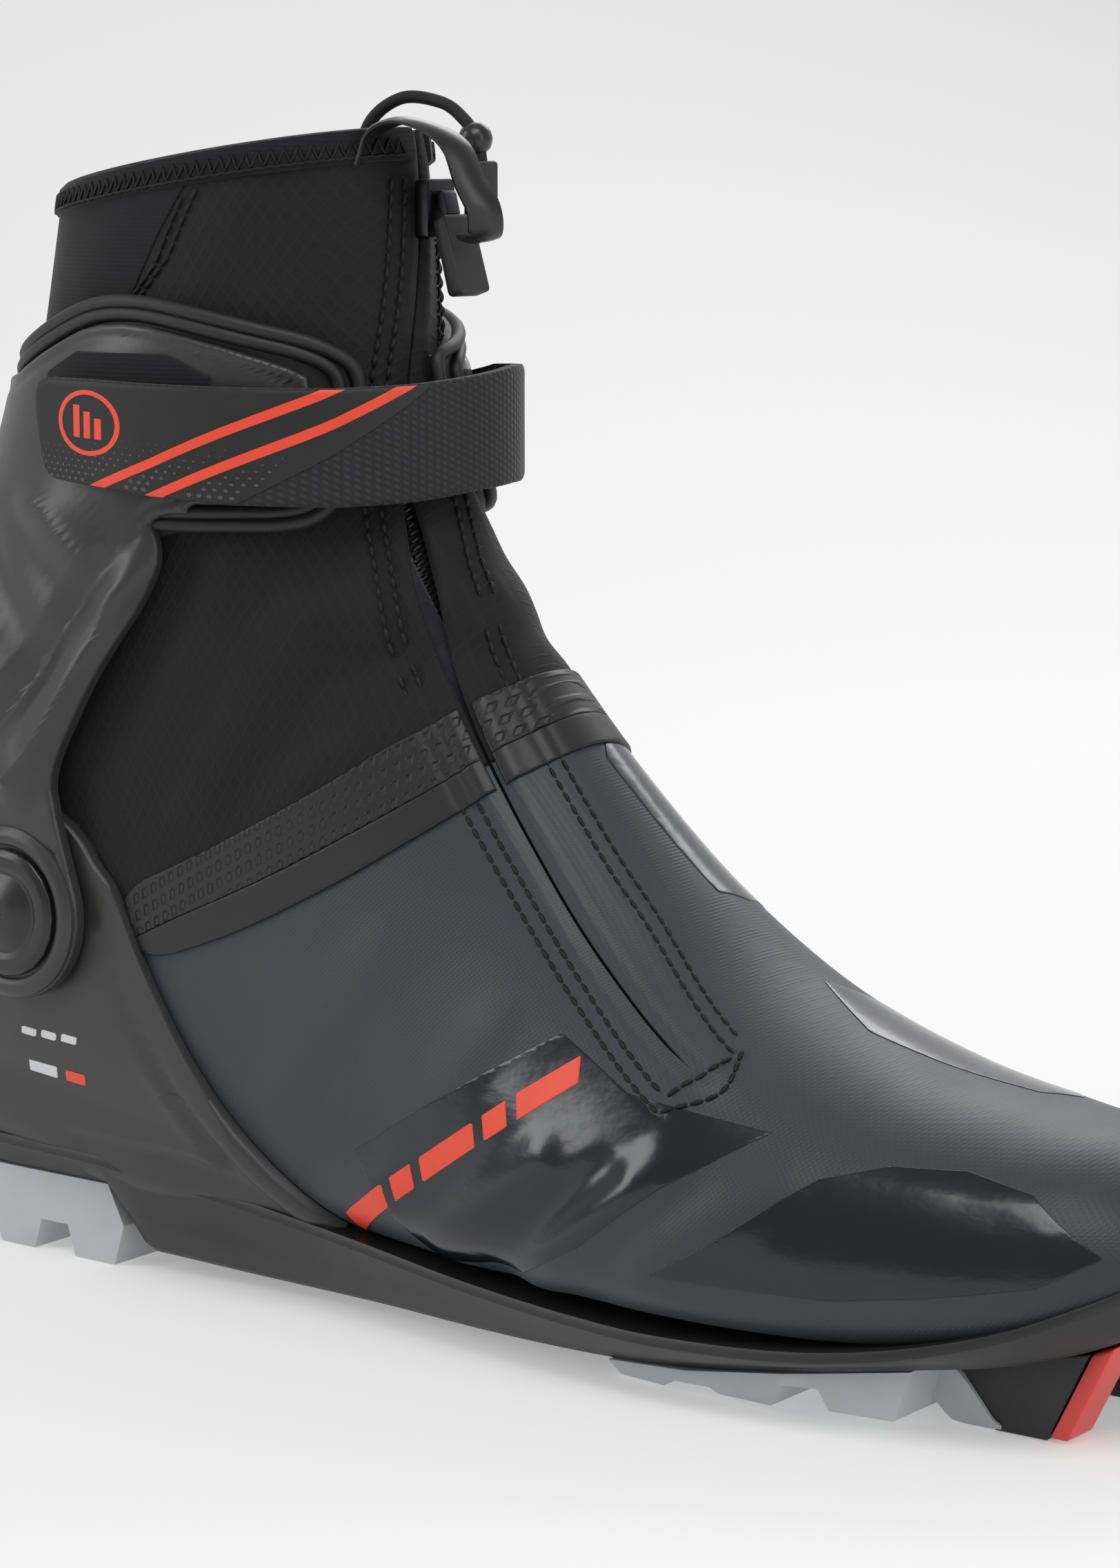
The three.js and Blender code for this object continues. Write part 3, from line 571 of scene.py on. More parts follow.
def film():
    s = Shader("film", (0.0030, 0.0048, 0.0105), 0.2, Specular_IOR_Level=0.45, Coat_Weight=0.25,
               Coat_Roughness=0.12)
    s.cloud(0.02, 0.4, 0.7, 0.6, 1.5)
    s.raise_by(s.noise(0.009, 3, stretch=(1, 1, 2)), 0.0005, 0.35)
    s.grain(0.0012, 2, 0.00003, 0.4)
    s.vary_roughness(0.015, 0.16, 0.28)
    return s.material


def cloth(name, colour, roughness, sheen, gloss=0.16, sheen_roughness=0.4):
    """Shader of a woven or brushed material, its surface still to be made."""
    return Shader(name, colour, roughness, Sheen_Weight=sheen, Sheen_Roughness=sheen_roughness,
                  Specular_IOR_Level=gloss)


def stretch_cloth():
    s = cloth("stretch_cloth", (0.0112, 0.0112, 0.0123), 0.7, 0.1)
    lattice = s.math("MAXIMUM", s.ramp(s.bands(0.0021, -35), 0.6, 1), s.ramp(s.bands(0.0021, 28), 0.75, 1))
    s.tint(s.math("MULTIPLY", lattice, 0.3), 1.7)
    s.cloud(0.03, 0.4, 0.75, 0.5, 1.5)
    s.raise_by(lattice, 0.00012, 0.6)
    s.grain(0.0008, 3, 0.00008)
    s.vary_roughness(0.02, 0.6, 0.78)
    return s.material


def plain_cloth():
    s = cloth("plain_cloth", (0.0133, 0.0137, 0.0151), 0.78, 0.12)
    s.cloud(0.02, 0.4, 0.75, 0.5, 1.5)
    s.raise_by(s.bands(0.0008, 90), 0.00008, 0.5)
    s.grain(0.0008, 3, 0.00006, 0.4)
    return s.material


def fleece():
    s = cloth("fleece", (0.012, 0.0125, 0.015), 0.95, 0.25, 0.15, 0.6)
    s.tint(s.ramp(s.cells(0.0016), 0.1, 0.7, 0, 0.7), 1.8)
    s.grain(0.0018, 5, 0.0005, 0.7)
    return s.material


def band_material(name, hatched):
    s = Shader(name, (0.0125, 0.0125, 0.0132), 0.45, Specular_IOR_Level=0.4)
    if hatched:
        rows = s.ramp(s.bands(0.0029, 240), 0.25, 0.7)
        ticks = s.math("MULTIPLY", rows, s.ramp(s.bands(0.0023, -8), 0.3, 0.8))
        s.raise_by(ticks, 0.0004, 0.9)
        s.tint(s.math("MULTIPLY", ticks, 0.5), 1.8)
    s.cloud(0.012, 0.4, 0.7, 0.5, 1.4)
    s.grain(0.0006, 3, 0.00003)
    s.vary_roughness(0.01, 0.36, 0.5)
    return s.material


def webbing():
    s = cloth("webbing", (0.0184, 0.0184, 0.0200), 0.7, 0.12, 0.25)
    knit = s.math("MULTIPLY", s.bands(0.0015, 90), s.bands(0.0013, 30))
    s.tint(s.math("MULTIPLY", knit, 0.7), 2.4)
    s.raise_by(knit, 0.0002, 0.8)
    s.grain(0.0007, 3, 0.00006)
    return s.material


def moulded(name, colour, roughness, cloud, grain, vary=None, **settings):
    """Material with blotches and grain. vary is (size, less rough by, rougher by, detail)."""
    s = Shader(name, colour, roughness, **settings)
    s.cloud(*cloud)
    s.grain(*grain)
    if vary:
        size, below, above, detail = vary
        s.vary_roughness(size, roughness - below, roughness + above, detail)
    return s.material


def plastic(name, colour, roughness, grain=0.0005):
    return moulded(name, colour, roughness, (0.03, 0.4, 0.7, 0.5, 1.5), (grain, 3, 0.00004),
                   (0.02, 0.05, 0.08, 4), Coat_Weight=0.05, Coat_Roughness=0.4)


def rubber(name, colour, roughness=0.6):
    return moulded(name, colour, roughness, (0.02, 0.45, 0.75, 0.35, 0.72, 5), (0.0009, 4, 0.00006),
                   (0.01, 0.06, 0.1, 3))


def print_ink(name, colour):
    return moulded(name, colour, 0.42, (0.004, 0.5, 0.8, 0.3, 0.8, 4), (0.0006, 3, 0.00003))


def metal(name, colour, roughness):
    return moulded(name, colour, roughness, (0.006, 0.4, 0.8, 0.4, 0.7, 4), (0.0007, 4, 0.00003),
                   (0.003, 0.06, 0.12, 3), Metallic=1.0)


def printed_tape():
    return moulded("printed_tape", (0.0156, 0.0156, 0.0169), 0.5, (0.012, 0.4, 0.7, 0.5, 1.5),
                   (0.0005, 3, 0.00005, 0.6), Specular_IOR_Level=0.35)


def thread():
    return moulded("thread", (0.0055, 0.0055, 0.006), 0.6, (0.0009, 0.4, 0.7, 1, 1.8),
                   (0.0005, 3, 0.0001, 0.6), Specular_IOR_Level=0.3)


M = {
    "softshell": softshell(), "film": film(), "cloth": stretch_cloth(), "plain": plain_cloth(),
    "fleece": fleece(), "webbing": webbing(), "tape": printed_tape(), "thread": thread(),
    "band": band_material("band_film", False), "hatch": band_material("band_hatch", True),
    "counter": plastic("counter_plastic", (0.025, 0.0252, 0.0242), 0.44),
    "cuff": plastic("cuff_plastic", (0.027, 0.0275, 0.0265), 0.36, 0.0009),
    "cap": plastic("cap_plastic", (0.011, 0.011, 0.0115), 0.3),
    "piping": plastic("piping_foam", (0.0085, 0.0085, 0.009), 0.55, 0.0008),
    "sole": plastic("sole_plastic", (0.010, 0.010, 0.0105), 0.45),
    "zip": plastic("zip_plastic", (0.006, 0.006, 0.0065), 0.35),
    "grip": rubber("grip_rubber", (0.016, 0.016, 0.017), 0.5),
    "tread": rubber("tread_rubber", (0.50, 0.51, 0.53)),
    "board": rubber("board_fibre", (0.22, 0.19, 0.15), 0.85),
    "red": print_ink("red_ink", (0.78, 0.062, 0.024)),
    "white": print_ink("white_ink", (0.62, 0.63, 0.64)),
    "dots": print_ink("dot_ink", (0.06, 0.06, 0.064)),
    "red_rubber": rubber("red_rubber", (0.72, 0.06, 0.045), 0.4),
    "steel": metal("steel", (0.5, 0.5, 0.52), 0.3),
    "black_metal": metal("black_metal", (0.06, 0.06, 0.065), 0.35),
}


def dress(piece, material, body=None, stands_for=()):
    piece.data.materials.clear()
    piece.data.materials.append(M[material])
    if body:
        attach(piece, body)
    if stands_for:
        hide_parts(*stands_for)
    return piece


# ---- outlines in the side view
def polar(angle, radius):
    """Point of the side view at an angle in degrees and a distance from the ankle axis."""
    angle = math.radians(angle)
    return (ANKLE_X + radius * math.cos(angle), ANKLE_Z + radius * math.sin(angle))


def arc(start, end, radius, steps=10):
    return [polar(start + (end - start) * k / steps, radius) for k in range(steps + 1)]


BAND_MIDDLE = [(24, 66), (49, 78), (74, 90), (93, 101), (105, 110), (113, 117.5)]
BAND = [(28, 62), (53, 71), (75, 82.5), (92, 93.5), (105, 103.5), (118, 116), (106, 126), (97, 118.5),
        (87, 111), (79, 106), (66, 97), (44, 85), (22, 75)]
COUNTER = [(75, 14), (62, 24.5), (49, 36), (39, 48), (30, 62), (23, 76), *arc(30, 150, 21), (-35, 88),
           (-80, 97), (-80, 22), (20, 21)]
CUFF_BACK = [(-75, 166), (-75, 136), (-20, 131), (-5, 128), (-14, 108), (-20, 92)]
CUFF_TOP = [(17, 182.5), (5, 178), (-12, 171)]


def cuff_outline(front):
    return [(front - 4, 176), (front - 18, 180), (29, 183), *CUFF_TOP, *CUFF_BACK, *arc(160, 385, 17, 14),
            (12, 88), (10, 97), (21, 115), (33, 135), (33.5, 141), (31, 147), (front - 3, 146.5),
            (front, 150), (front, 171)]


def lining_outline(front):
    return [(front - 3, 179), (front - 18, 183.2), (28, 186.2), (16, 185.7), (4, 181.2), (-13, 174.2),
            (-75, 169), (-75, 139), (-20, 134), (-5, 131), (10, 130), (30, 143.5),
            (front - 2, 143.5), (front + 3, 149), (front + 3, 173)]


def by_side(outline, lateral, medial, passes=2):
    left, right = rounded(outline(lateral), passes), rounded(outline(medial), passes)
    return lambda point, u, v: np.where(point[:, 1] < 0, edge_distance(point[:, [0, 2]], left),
                                        edge_distance(point[:, [0, 2]], right))


vamp_area = side_view([(-95, -5), (262, -5), (262, 119), *BAND_MIDDLE[::-1], *arc(0, 135, 22),
                       polar(135, 230), (-95, 100)], 0)
band_area = side_view(BAND)
counter_area = side_view(COUNTER, 1)
cuff_area = by_side(cuff_outline, LATERAL_FRONT, MEDIAL_FRONT)
lining_area = by_side(lining_outline, LATERAL_FRONT, MEDIAL_FRONT)


# ---- relief
def ridge(point, a, b, width):
    """1 on the segment a-b of the side view, falling to 0 at `width` millimetres."""
    a, b = np.asarray(a, float), np.asarray(b, float)
    along = b - a
    xy = point[:, [0, 2]]
    share = np.clip(((xy - a) @ along) / (along @ along), 0, 1)
    distance = np.linalg.norm(xy - a - share[:, None] * along, axis=1)
    return np.maximum(1 - distance / width, 0)


def soft(value):
    return value * value * (3 - 2 * value)


# Side-view folds of the softshell: start, end, width, height.
VAMP_FOLDS = [
    ((100, 20), (125, 40), 7, 0.8), ((112, 18), (140, 40), 6, -0.7), ((122, 18), (150, 42), 7, 0.8),
    ((136, 20), (158, 40), 6, -0.5), ((86, 28), (110, 60), 8, 0.5), ((60, 40), (84, 70), 9, 0.4),
    ((150, 24), (172, 40), 8, 0.5), ((70, 30), (96, 40), 7, -0.4),
]
CLOTH_FOLDS = [
    ((38, 92), (60, 128), 10, 1.1), ((50, 92), (72, 120), 8, -0.8), ((30, 100), (46, 140), 10, 0.9),
    ((62, 100), (84, 112), 7, 0.9), ((66, 118), (88, 122), 6, -0.8), ((60, 128), (86, 132), 8, 1.0),
    ((30, 178), (44, 204), 9, 0.5), ((46, 176), (50, 208), 7, -0.4), ((10, 190), (24, 204), 9, 0.4),
]


def folds(table, side_gain=1.0):
    def relief(point, u, v, depth):
        total = np.zeros(len(point))
        for a, b, width, height in table:
            total += height * soft(ridge(point, a, b, width))
        return total * np.where(point[:, 1] < 0, 1.0, side_gain)
    return relief


STITCH_LATERAL = [(16.2, 92), (14.4, 97), (12.8, 103.5), (11.4, 110), (10.1, 116), (9, 122), (7.9, 126),
                  (6.8, 131), (6, 136), (5.1, 143.5)]
STITCH_MEDIAL = [(16.2, 66), (14.4, 72), (12.8, 80), (11.4, 87), (10.1, 94), (9.3, 99), (8.1, 106),
                 (7.2, 109.5), (6.4, 112.5), (5.8, 115), (4.85, 123.5)]


def beside(curve, distance):
    """The same line `distance` millimetres further round the section."""
    curve = np.asarray(curve, float)
    t, angle = curve[:, 0], curve[:, 1]
    step = np.linalg.norm(skin_point(t, angle + 0.5) - skin_point(t, angle - 0.5), axis=1)
    return np.stack([t, angle + distance / step], 1)


STITCH_ROWS = [STITCH_LATERAL, beside(STITCH_LATERAL, 3.2), STITCH_MEDIAL, beside(STITCH_MEDIAL, -3.2)]
ROW_DISTANCES = [line_distance(row) for row in STITCH_ROWS]
STITCH_END = [[STITCH_LATERAL[-1], (4.95, 134), STITCH_MEDIAL[-1]],
              [tuple(STITCH_ROWS[1][-1]), (4.78, 135), tuple(STITCH_ROWS[3][-1])]]


def placket_relief(point):
    """Sunk stitch rows and the raised lips beside the zipper."""
    sunk = np.zeros(len(point))
    near = abs(point[:, 1]) < 42
    for distance in ROW_DISTANCES:
        d = np.full(len(point), 99.0)
        d[near] = distance(point[near])
        sunk -= 0.35 * np.exp(-(d / 0.9) ** 2)
    lip = zipper_distance(point)
    return sunk + 0.55 * np.exp(-((lip - 3.2) / 1.8) ** 2)


def vamp_relief(point, u, v, depth):
    return folds(VAMP_FOLDS, 0.6)(point, u, v, depth) + placket_relief(point)


def cloth_relief(point, u, v, depth):
    fade = smoothstep(COLLAR - u, 0.02, 0.6)
    return (folds(CLOTH_FOLDS, 0.8)(point, u, v, depth) + placket_relief(point)) * fade


ALL_ROUND = np.linspace(-90, 270, 181)

# ---- upper
SLIT_LEVELS = np.concatenate([np.linspace(0, 5, 56), np.linspace(5.03, 5.33, 9), np.linspace(5.42, 12, 80)])
vamp = patch("vamp", on_skin, SLIT_LEVELS, LIP_SHARES, [vamp_area], -FABRIC, 0, 0.9, vamp_relief,
             warp=from_lip_to_lip, edges=[clear_of_slit])
dress(vamp, "softshell", "shoe", ["vamp_shell", "heel_quarter"])

cloth_area = side_view([(20, 64), *BAND_MIDDLE[1:], (125, 125), (125, 250), (-120, 250), (-120, 140),
                        polar(112, 120), polar(112, 5), (4, 66)], 0)
gaiter = patch("gaiter", on_skin, (6.2, 16.95, 170), LIP_SHARES, [cloth_area], -FABRIC, 0, 0.9,
               cloth_relief, warp=from_lip_to_lip, edges=[clear_of_slit])
dress(gaiter, "cloth", None,
      ["gaiter_lower_lateral", "gaiter_lower_medial", "gaiter_flex_front", "gaiter_upper"])
# Bends at the ankle: direction from its axis in degrees, distance from it, half the width, sense
FRONT_BEND = (37.5, 60, 15.0, 1)
REAR_BEND = (128, 85, 14, -1)


def flex_points(angle, radius, half, direction):
    """Start and end of the bend across a ray from the ankle axis."""
    x, z = polar(angle, radius)
    turn = math.radians(angle)
    across = np.array([-math.sin(turn), 0, math.cos(turn)]) * half * direction
    middle = np.array([x, 0, z])
    return [tuple(place_in_frame(middle + sign * across)) for sign in (-1, 1)]


front_bend = flex_points(*FRONT_BEND)
rear_bend = flex_points(*REAR_BEND)
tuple(front_bend[0])
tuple(front_bend[1])
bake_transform(gaiter)

rear_area = side_view([(-15, 78), polar(114, 60), polar(114, 100), (-110, 160), (-110, 80)], 0)
rear_panel = patch("rear_panel", on_skin, (9.5, 15.8, 90), (150, 390, 121), [rear_area],
                   -FABRIC, -0.05, 0.4)
dress(rear_panel, "softshell", None, ["gaiter_flex_back"])
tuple(rear_bend[0])
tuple(rear_bend[1])
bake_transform(rear_panel)

# Smooth cloth at the back of the collar, over a diagonal seam
collar_back_area = side_view([(37, 214), (34, 207), (28, 197), (21, 183), (14, 172), (-60, 172), (-60, 240),
                              (37, 240)], 0)
collar_back = patch("collar_back", on_skin, (12, 16.93, 90), ALL_ROUND, [collar_back_area],
                    0.02, 0.32, 0.25, cloth_relief)
dress(collar_back, "plain", "cuff")

band_groove = rounded([(20, 62), (26, 67), (60, 82), (86, 97), (99, 107), (112, 119)], 2, closed=False)


def above_groove(point, u, v):
    closed = np.concatenate([band_groove, [(130, 119), (130, 0), (20, 0)]])
    return -edge_distance(point[:, [0, 2]], closed)


def lateral_of_slit(point, u, v):
    return (v - zipper_angle(u)) * 0.6 - slit_half(u) - 0.4


def medial_of_slit(point, u, v):
    return (zipper_angle(u) - v) * 0.6 - slit_half(u) - 0.4


BAND_SIDES = [("lateral", lateral_of_slit, (88, 200)), ("medial", medial_of_slit, (-20, 124))]
BAND_PARTS = [("hatched", "hatch", above_groove), ("plain", "band", outside(above_groove))]
for side, beside_slit, span in BAND_SIDES:
    for part, material, area in BAND_PARTS:
        band = patch(f"band_{side}_{part}", on_skin, (5.5, 11.5, 170), (*span, 150),
                     [band_area, area, beside_slit], 0.02, 0.8, 0.35, vamp_relief)
        dress(band, material, "shoe", [f"transition_band_{side}"] if part == "plain" else ())

# ---- glossy film and red marks on the vamp
FILMS = {
    "film_side": [(125, 61), (141, 53), (168, 49), (160, 44), (152, 39), (135, 26), (121, 19), (97, 16),
                  (88, 24), (80, 34), (98, 45), (113, 54)],
    "film_toe": [(151, 24), (164, 32), (179, 43), (189, 45.5), (201, 45.5), (213, 43), (226, 34), (217, 29),
                 (200, 26), (184, 24)],
}
for name, outline in FILMS.items():
    piece = patch(name, on_skin, (0.2, 9, 190), (110, 260, 150),
                  [side_view(outline, 0), lateral_only], 0.02, 0.14, 0.12, vamp_relief)
    dress(piece, "film", "shoe")
PLAN_FILMS = {
    "film_ankle": [(101, 9), (110, -1), (133, 1.5), (134, 10), (128, 30), (108, 30)],
    "film_instep": [(152, 7), (166, 0), (196, 8), (200, 16), (190, 30), (160, 30)],
}
for name, outline in PLAN_FILMS.items():
    piece = patch(name, on_skin, (2, 9, 140), (15, 112, 110), [plan_view(outline)],
                  0.02, 0.14, 0.12, vamp_relief)
    dress(piece, "film", "shoe")

MARK_FROM, MARK_TO = np.array([75.0, 18.5]), np.array([131.0, 56.0])
MARK_ALONG = (MARK_TO - MARK_FROM) / np.linalg.norm(MARK_TO - MARK_FROM)
MARK_UP = np.array([-MARK_ALONG[1], MARK_ALONG[0]])
for k, (start, length) in enumerate([(0, 15), (17.5, 6), (26, 15), (43.5, 6), (52, 14)]):
    low = MARK_FROM + MARK_ALONG * start
    high = low + MARK_ALONG * length
    up, lean = MARK_UP * 2.1, MARK_ALONG * 1.6
    bar = [low - up, high - up, high + up + lean, low + up + lean]
    piece = patch(f"vamp_bar_{k}", on_skin, (4.5, 8.8, 190), (140, 240, 190),
                  [side_view(bar, 0), lateral_only], 0.1, 0.26, 0.1, vamp_relief)
    dress(piece, "red", "shoe")


# ---- heel counter
def counter_relief(point, u, v, depth):
    depth = np.maximum(counter_area(point, u, v), 0)
    front = smoothstep(point[:, 0], -5, 12)
    edge = 0.9 * np.exp(-((depth - 2.6) / 1.8) ** 2) - 0.9 * np.exp(-((depth - 7.0) / 1.6) ** 2)
    line = 0.5 * np.exp(-((depth - 9.6) / 1.2) ** 2)
    flare = (5.0 * smoothstep(point[:, 2] + 0.14 * point[:, 0], 37, 25) * smoothstep(point[:, 0], 62, 20)
             * smoothstep(abs(point[:, 1]), 4, 20))
    return (edge + line) * front * smoothstep(point[:, 2], 82, 70) + flare


counter = patch("counter", on_counter, (6, 16, 170), (100, 440, 200), [counter_area],
                0.25, 2.8, 1.1, counter_relief)
dress(counter, "counter", "shoe", ["heel_counter"])

for k, (x, z, length, height, ink) in enumerate([
        (-3.5, 45, 4.2, 1.3, "white"), (2.2, 45, 4.2, 1.3, "white"), (7.9, 45, 4.2, 1.3, "white"),
        (-3.0, 37.5, 8, 1.9, "white"), (7.5, 37.0, 5.5, 1.9, "red")]):
    bar = [(x, z), (x + length, z - 0.06 * length),
           (x + length + 0.4, z + height), (x + 0.4, z + height + 0.3)]
    piece = patch(f"counter_bar_{k}", on_counter, (8.5, 11.8, 120), (170, 250, 150),
                  [side_view(bar, 0), lateral_only], 2.75, 2.93, 0.08, counter_relief)
    dress(piece, ink, "shoe")


# ---- cuff
def left_of(point, a, b):
    """Signed distance in the side view from the line a-b, positive to the left of its run."""
    along = np.subtract(b, a) / np.linalg.norm(np.subtract(b, a))
    return along[0] * (point[:, 2] - a[1]) - along[1] * (point[:, 0] - a[0])


def cuff_relief(point, u, v, depth):
    """Crossing facets of the arms and a soft border."""
    bar = 2.6 * ridge(point, (33, 134), (3, 96), 9) - 1.6 * ridge(point, (22, 136), (-3, 104), 5)
    below = np.clip(-left_of(point, (22, 133), (5, 148)), 0, 9)
    upper = 2.0 * ridge(point, (24, 132), (6, 149), 8) + 0.05 * below
    waist = (1.0 * soft(ridge(point, (-14, 150), (-8, 122), 7))
             - 1.2 * soft(ridge(point, (-10, 138), (8, 118), 8)))
    column = 1.1 * soft(ridge(point, (1, 92), (-3, 112), 8))
    radius = np.hypot(point[:, 0] - ANKLE_X, point[:, 2] - ANKLE_Z)
    border = smoothstep(depth, 0.2, 3.0)
    arm = (bar + upper + waist + column) * smoothstep(radius, 18, 26) * border
    return arm * smoothstep(point[:, 2], 153, 146) - 0.35 * np.exp(-((depth - 2.4) / 0.8) ** 2)


def below_piping(front):
    return [(-100, -20), (34, -20), (34, 148.6), (front - 3.5, 148.6), (front - 1.6, 151),
            (front - 1.6, 171.5),
            (front - 6, 174.2), (front - 19, 178.4), (28, 181.4), (16.6, 180.8), (5, 176.4), (-12, 169.4),
            (-100, 160)]


cuff_covers = [cuff_area, by_side(below_piping, LATERAL_FRONT, MEDIAL_FRONT, 1)]
cuff = patch("cuff", on_cuff, (7.2, 16.4, 230), ALL_ROUND, cuff_covers, CUFF_IN, CUFF_OUT, 1.0, cuff_relief,
             smooth=30)
dress(cuff, "cuff", "cuff", ["cuff_shell"])


def revolve(name, profile, side, steps=64):
    """Ring on the ankle axis from (radius, |y|) points."""
    angles = np.linspace(0, 2 * math.pi, steps, endpoint=False)
    points = [(ANKLE_X + r * math.cos(a), side * y, ANKLE_Z + r * math.sin(a))
              for a in angles for r, y in profile]
    faces = ring_faces(steps, len(profile), wrap=True)
    return mesh_object(name, points, faces if side > 0 else [face[::-1] for face in faces])


BOSS = [(12.9, 41.6), (12.9, 42.9), (13.3, 43.3), (14.6, 43.5), (15.6, 43.1), (16.4, 42.5), (16.6, 41.6)]
for name, side in (("lateral", -1), ("medial", 1)):
    dress(revolve(f"pivot_boss_{name}", BOSS, side), "cuff", "cuff")


lining = patch("cuff_lining_pad", on_skin, (9, 16.6, 150), ALL_ROUND, [lining_area], 0.4, 2.5, 1.2)
dress(lining, "piping", "cuff", ["cuff_lining"])


def find_on_skin(targets, side):
    """(t, angle) of the skin points of one side at side-view places (x, z)."""
    low, high = (95, 268) if side < 0 else (-88, 85)
    t, angle = [g.ravel() for g in np.meshgrid(np.linspace(8, 17, 181), np.linspace(low, high, 174),
                                               indexing="ij")]
    seen = skin_point(t, angle)[:, [0, 2]]
    found = []
    for target in np.asarray(targets, float):
        nearest = np.argmin(((seen - target) ** 2).sum(1))
        found.append((t[nearest], angle[nearest]))
    found = np.array(found)
    for _ in range(5):
        here = skin_point(found[:, 0], found[:, 1])[:, [0, 2]]
        by_t = (skin_point(found[:, 0] + 0.01, found[:, 1])[:, [0, 2]] - here) / 0.01
        by_angle = (skin_point(found[:, 0], found[:, 1] + 0.1)[:, [0, 2]] - here) / 0.1
        miss = targets - here
        determinant = by_t[:, 0] * by_angle[:, 1] - by_t[:, 1] * by_angle[:, 0]
        determinant = np.where(abs(determinant) < 1e-3, 1e9, determinant)
        step_t = (miss[:, 0] * by_angle[:, 1] - miss[:, 1] * by_angle[:, 0]) / determinant
        step_angle = (by_t[:, 0] * miss[:, 1] - by_t[:, 1] * miss[:, 0]) / determinant
        found += np.clip(np.stack([step_t, step_angle], 1), (-0.05, -1), (0.05, 1))
    return found


def piping_line(front, side, inset):
    """The lining's edge from the lower end of the wing over its top to the back, `inset` inside."""
    edge = rounded([(27, 143.5), (40, 143.5), (front - 2, 143.5), (front + 3, 149), (front + 3, 173),
                    (front - 3, 179), (front - 18, 183.2), (28, 186.2), (16, 185.7), (4, 181.2), (-12, 174.6)],
                   3, closed=False)
    along = np.gradient(edge, axis=0)
    along /= np.linalg.norm(along, axis=1, keepdims=True)
    edge = edge + np.stack([-along[:, 1], along[:, 0]], 1) * inset
    return find_on_skin(edge, side)


PIPING_STEPS = 420
for k, inset in enumerate((1.1, 3.4)):
    lateral, medial = piping_line(LATERAL_FRONT, -1, inset), piping_line(MEDIAL_FRONT, 1, inset)
    medial[:, 1] += 360
    behind = np.array([[0.5 * (lateral[-1, 0] + medial[-1, 0]), 270.0]])
    line = np.concatenate([lateral, behind, medial[::-1]])
    travelled = travel(on_skin(line[:, 0], line[:, 1], 3.0 * np.ones(len(line))))
    even = np.linspace(0, travelled[-1], PIPING_STEPS)
    line = np.stack([np.interp(even, travelled, line[:, 0]), np.interp(even, travelled, line[:, 1])], 1)
    for _ in range(3):
        line[1:-1] = 0.25 * line[:-2] + 0.5 * line[1:-1] + 0.25 * line[2:]
    u, v = line.T
    piping = tube(on_skin(u, v, np.full(PIPING_STEPS, 3.1)), skin_normal(u, v), 1.35, 12)
    dress(tubes_object(f"cuff_piping_{k}", [piping]), "piping", "cuff")

loop = patch("loop_patch_cloth", on_skin, (11, 16, 120), (120, 260, 140),
             [side_view([(6, 158), (44, 158), (44, 176), (6, 176)], 1), lateral_only], 5.5, 6.0, 0.3)
dress(loop, "plain", "cuff", ["loop_patch"])

# ---- strap
HALF = 1.0
strap_end = rounded([(-1, STRAP_LOW), (PATH_LENGTH - 7, STRAP_LOW), (PATH_LENGTH - 3.2, STRAP_LOW + 1.4),
                     (PATH_LENGTH - 1.5, STRAP_LOW + 6), (PATH_LENGTH, STRAP_TOP - 6),
                     (PATH_LENGTH - 1.2, STRAP_TOP - 1.2), (PATH_LENGTH - 6, STRAP_TOP), (-1, STRAP_TOP)], 2)


def strap_map(outline):
    outline = np.asarray(outline, float)
    return lambda point, u, v: edge_distance(np.stack([u * PATH_LENGTH, v], 1), outline)


def strap_relief(point, u, v, depth):
    """Slow waves, and a soft rise of the edge."""
    depth = np.maximum(strap_map(strap_end)(point, u, v), 0)
    return 0.12 * np.sin(u * 23) - 0.35 * np.exp(-(depth / 0.7) ** 2)


def strap_patch(name, *rest):
    """Piece on the strap, its UV map measured along the strap."""
    return patch(name, on_strap, *rest, unit=(1, PATH_LENGTH))


WOVEN_TO = [(-2, 140), (112, 140), (110.5, STRAP_LOW), (82, STRAP_TOP - 1), (81, 180), (-2, 180)]
strap = strap_patch("strap", (0, 1, 170), (STRAP_LOW, STRAP_TOP, 40),
                    [strap_map(strap_end)], -HALF, HALF - 0.12, 0.3, strap_relief)
dress(strap, "webbing", "strap", ["strap_webbing"])
tape = strap_patch("strap_tape", (0, 1, 200), (STRAP_LOW, STRAP_TOP, 60),
                   [lambda p, u, v: strap_map(strap_end)(p, u, v) - 0.25, outside(strap_map(WOVEN_TO))],
                   HALF - 0.14, HALF + 0.1, 0.15, strap_relief)
dress(tape, "tape", "strap")

STRIPES = [[(139.2, 148.3), (135.6, 148.3), (94.6, 173.8), (98.2, 173.8)],
           [(127.0, 148.3), (123.4, 148.3), (83.4, 173.8), (87.0, 173.8)]]
for k, stripe in enumerate(STRIPES):
    piece = strap_patch(f"strap_stripe_{k}", (0.4, 1, 260), (STRAP_LOW, STRAP_TOP, 80),
                        [strap_map(stripe), lambda p, u, v: strap_map(strap_end)(p, u, v) - 0.2],
                        HALF + 0.08, HALF + 0.2, 0.08, strap_relief)
    dress(piece, "red", "strap")


def circle(middle, radius, steps=48):
    """Outline of a circle, as points."""
    return [(middle[0] + radius * math.cos(a), middle[1] + radius * math.sin(a))
            for a in np.linspace(0, 2 * math.pi, steps + 1)[:-1]]


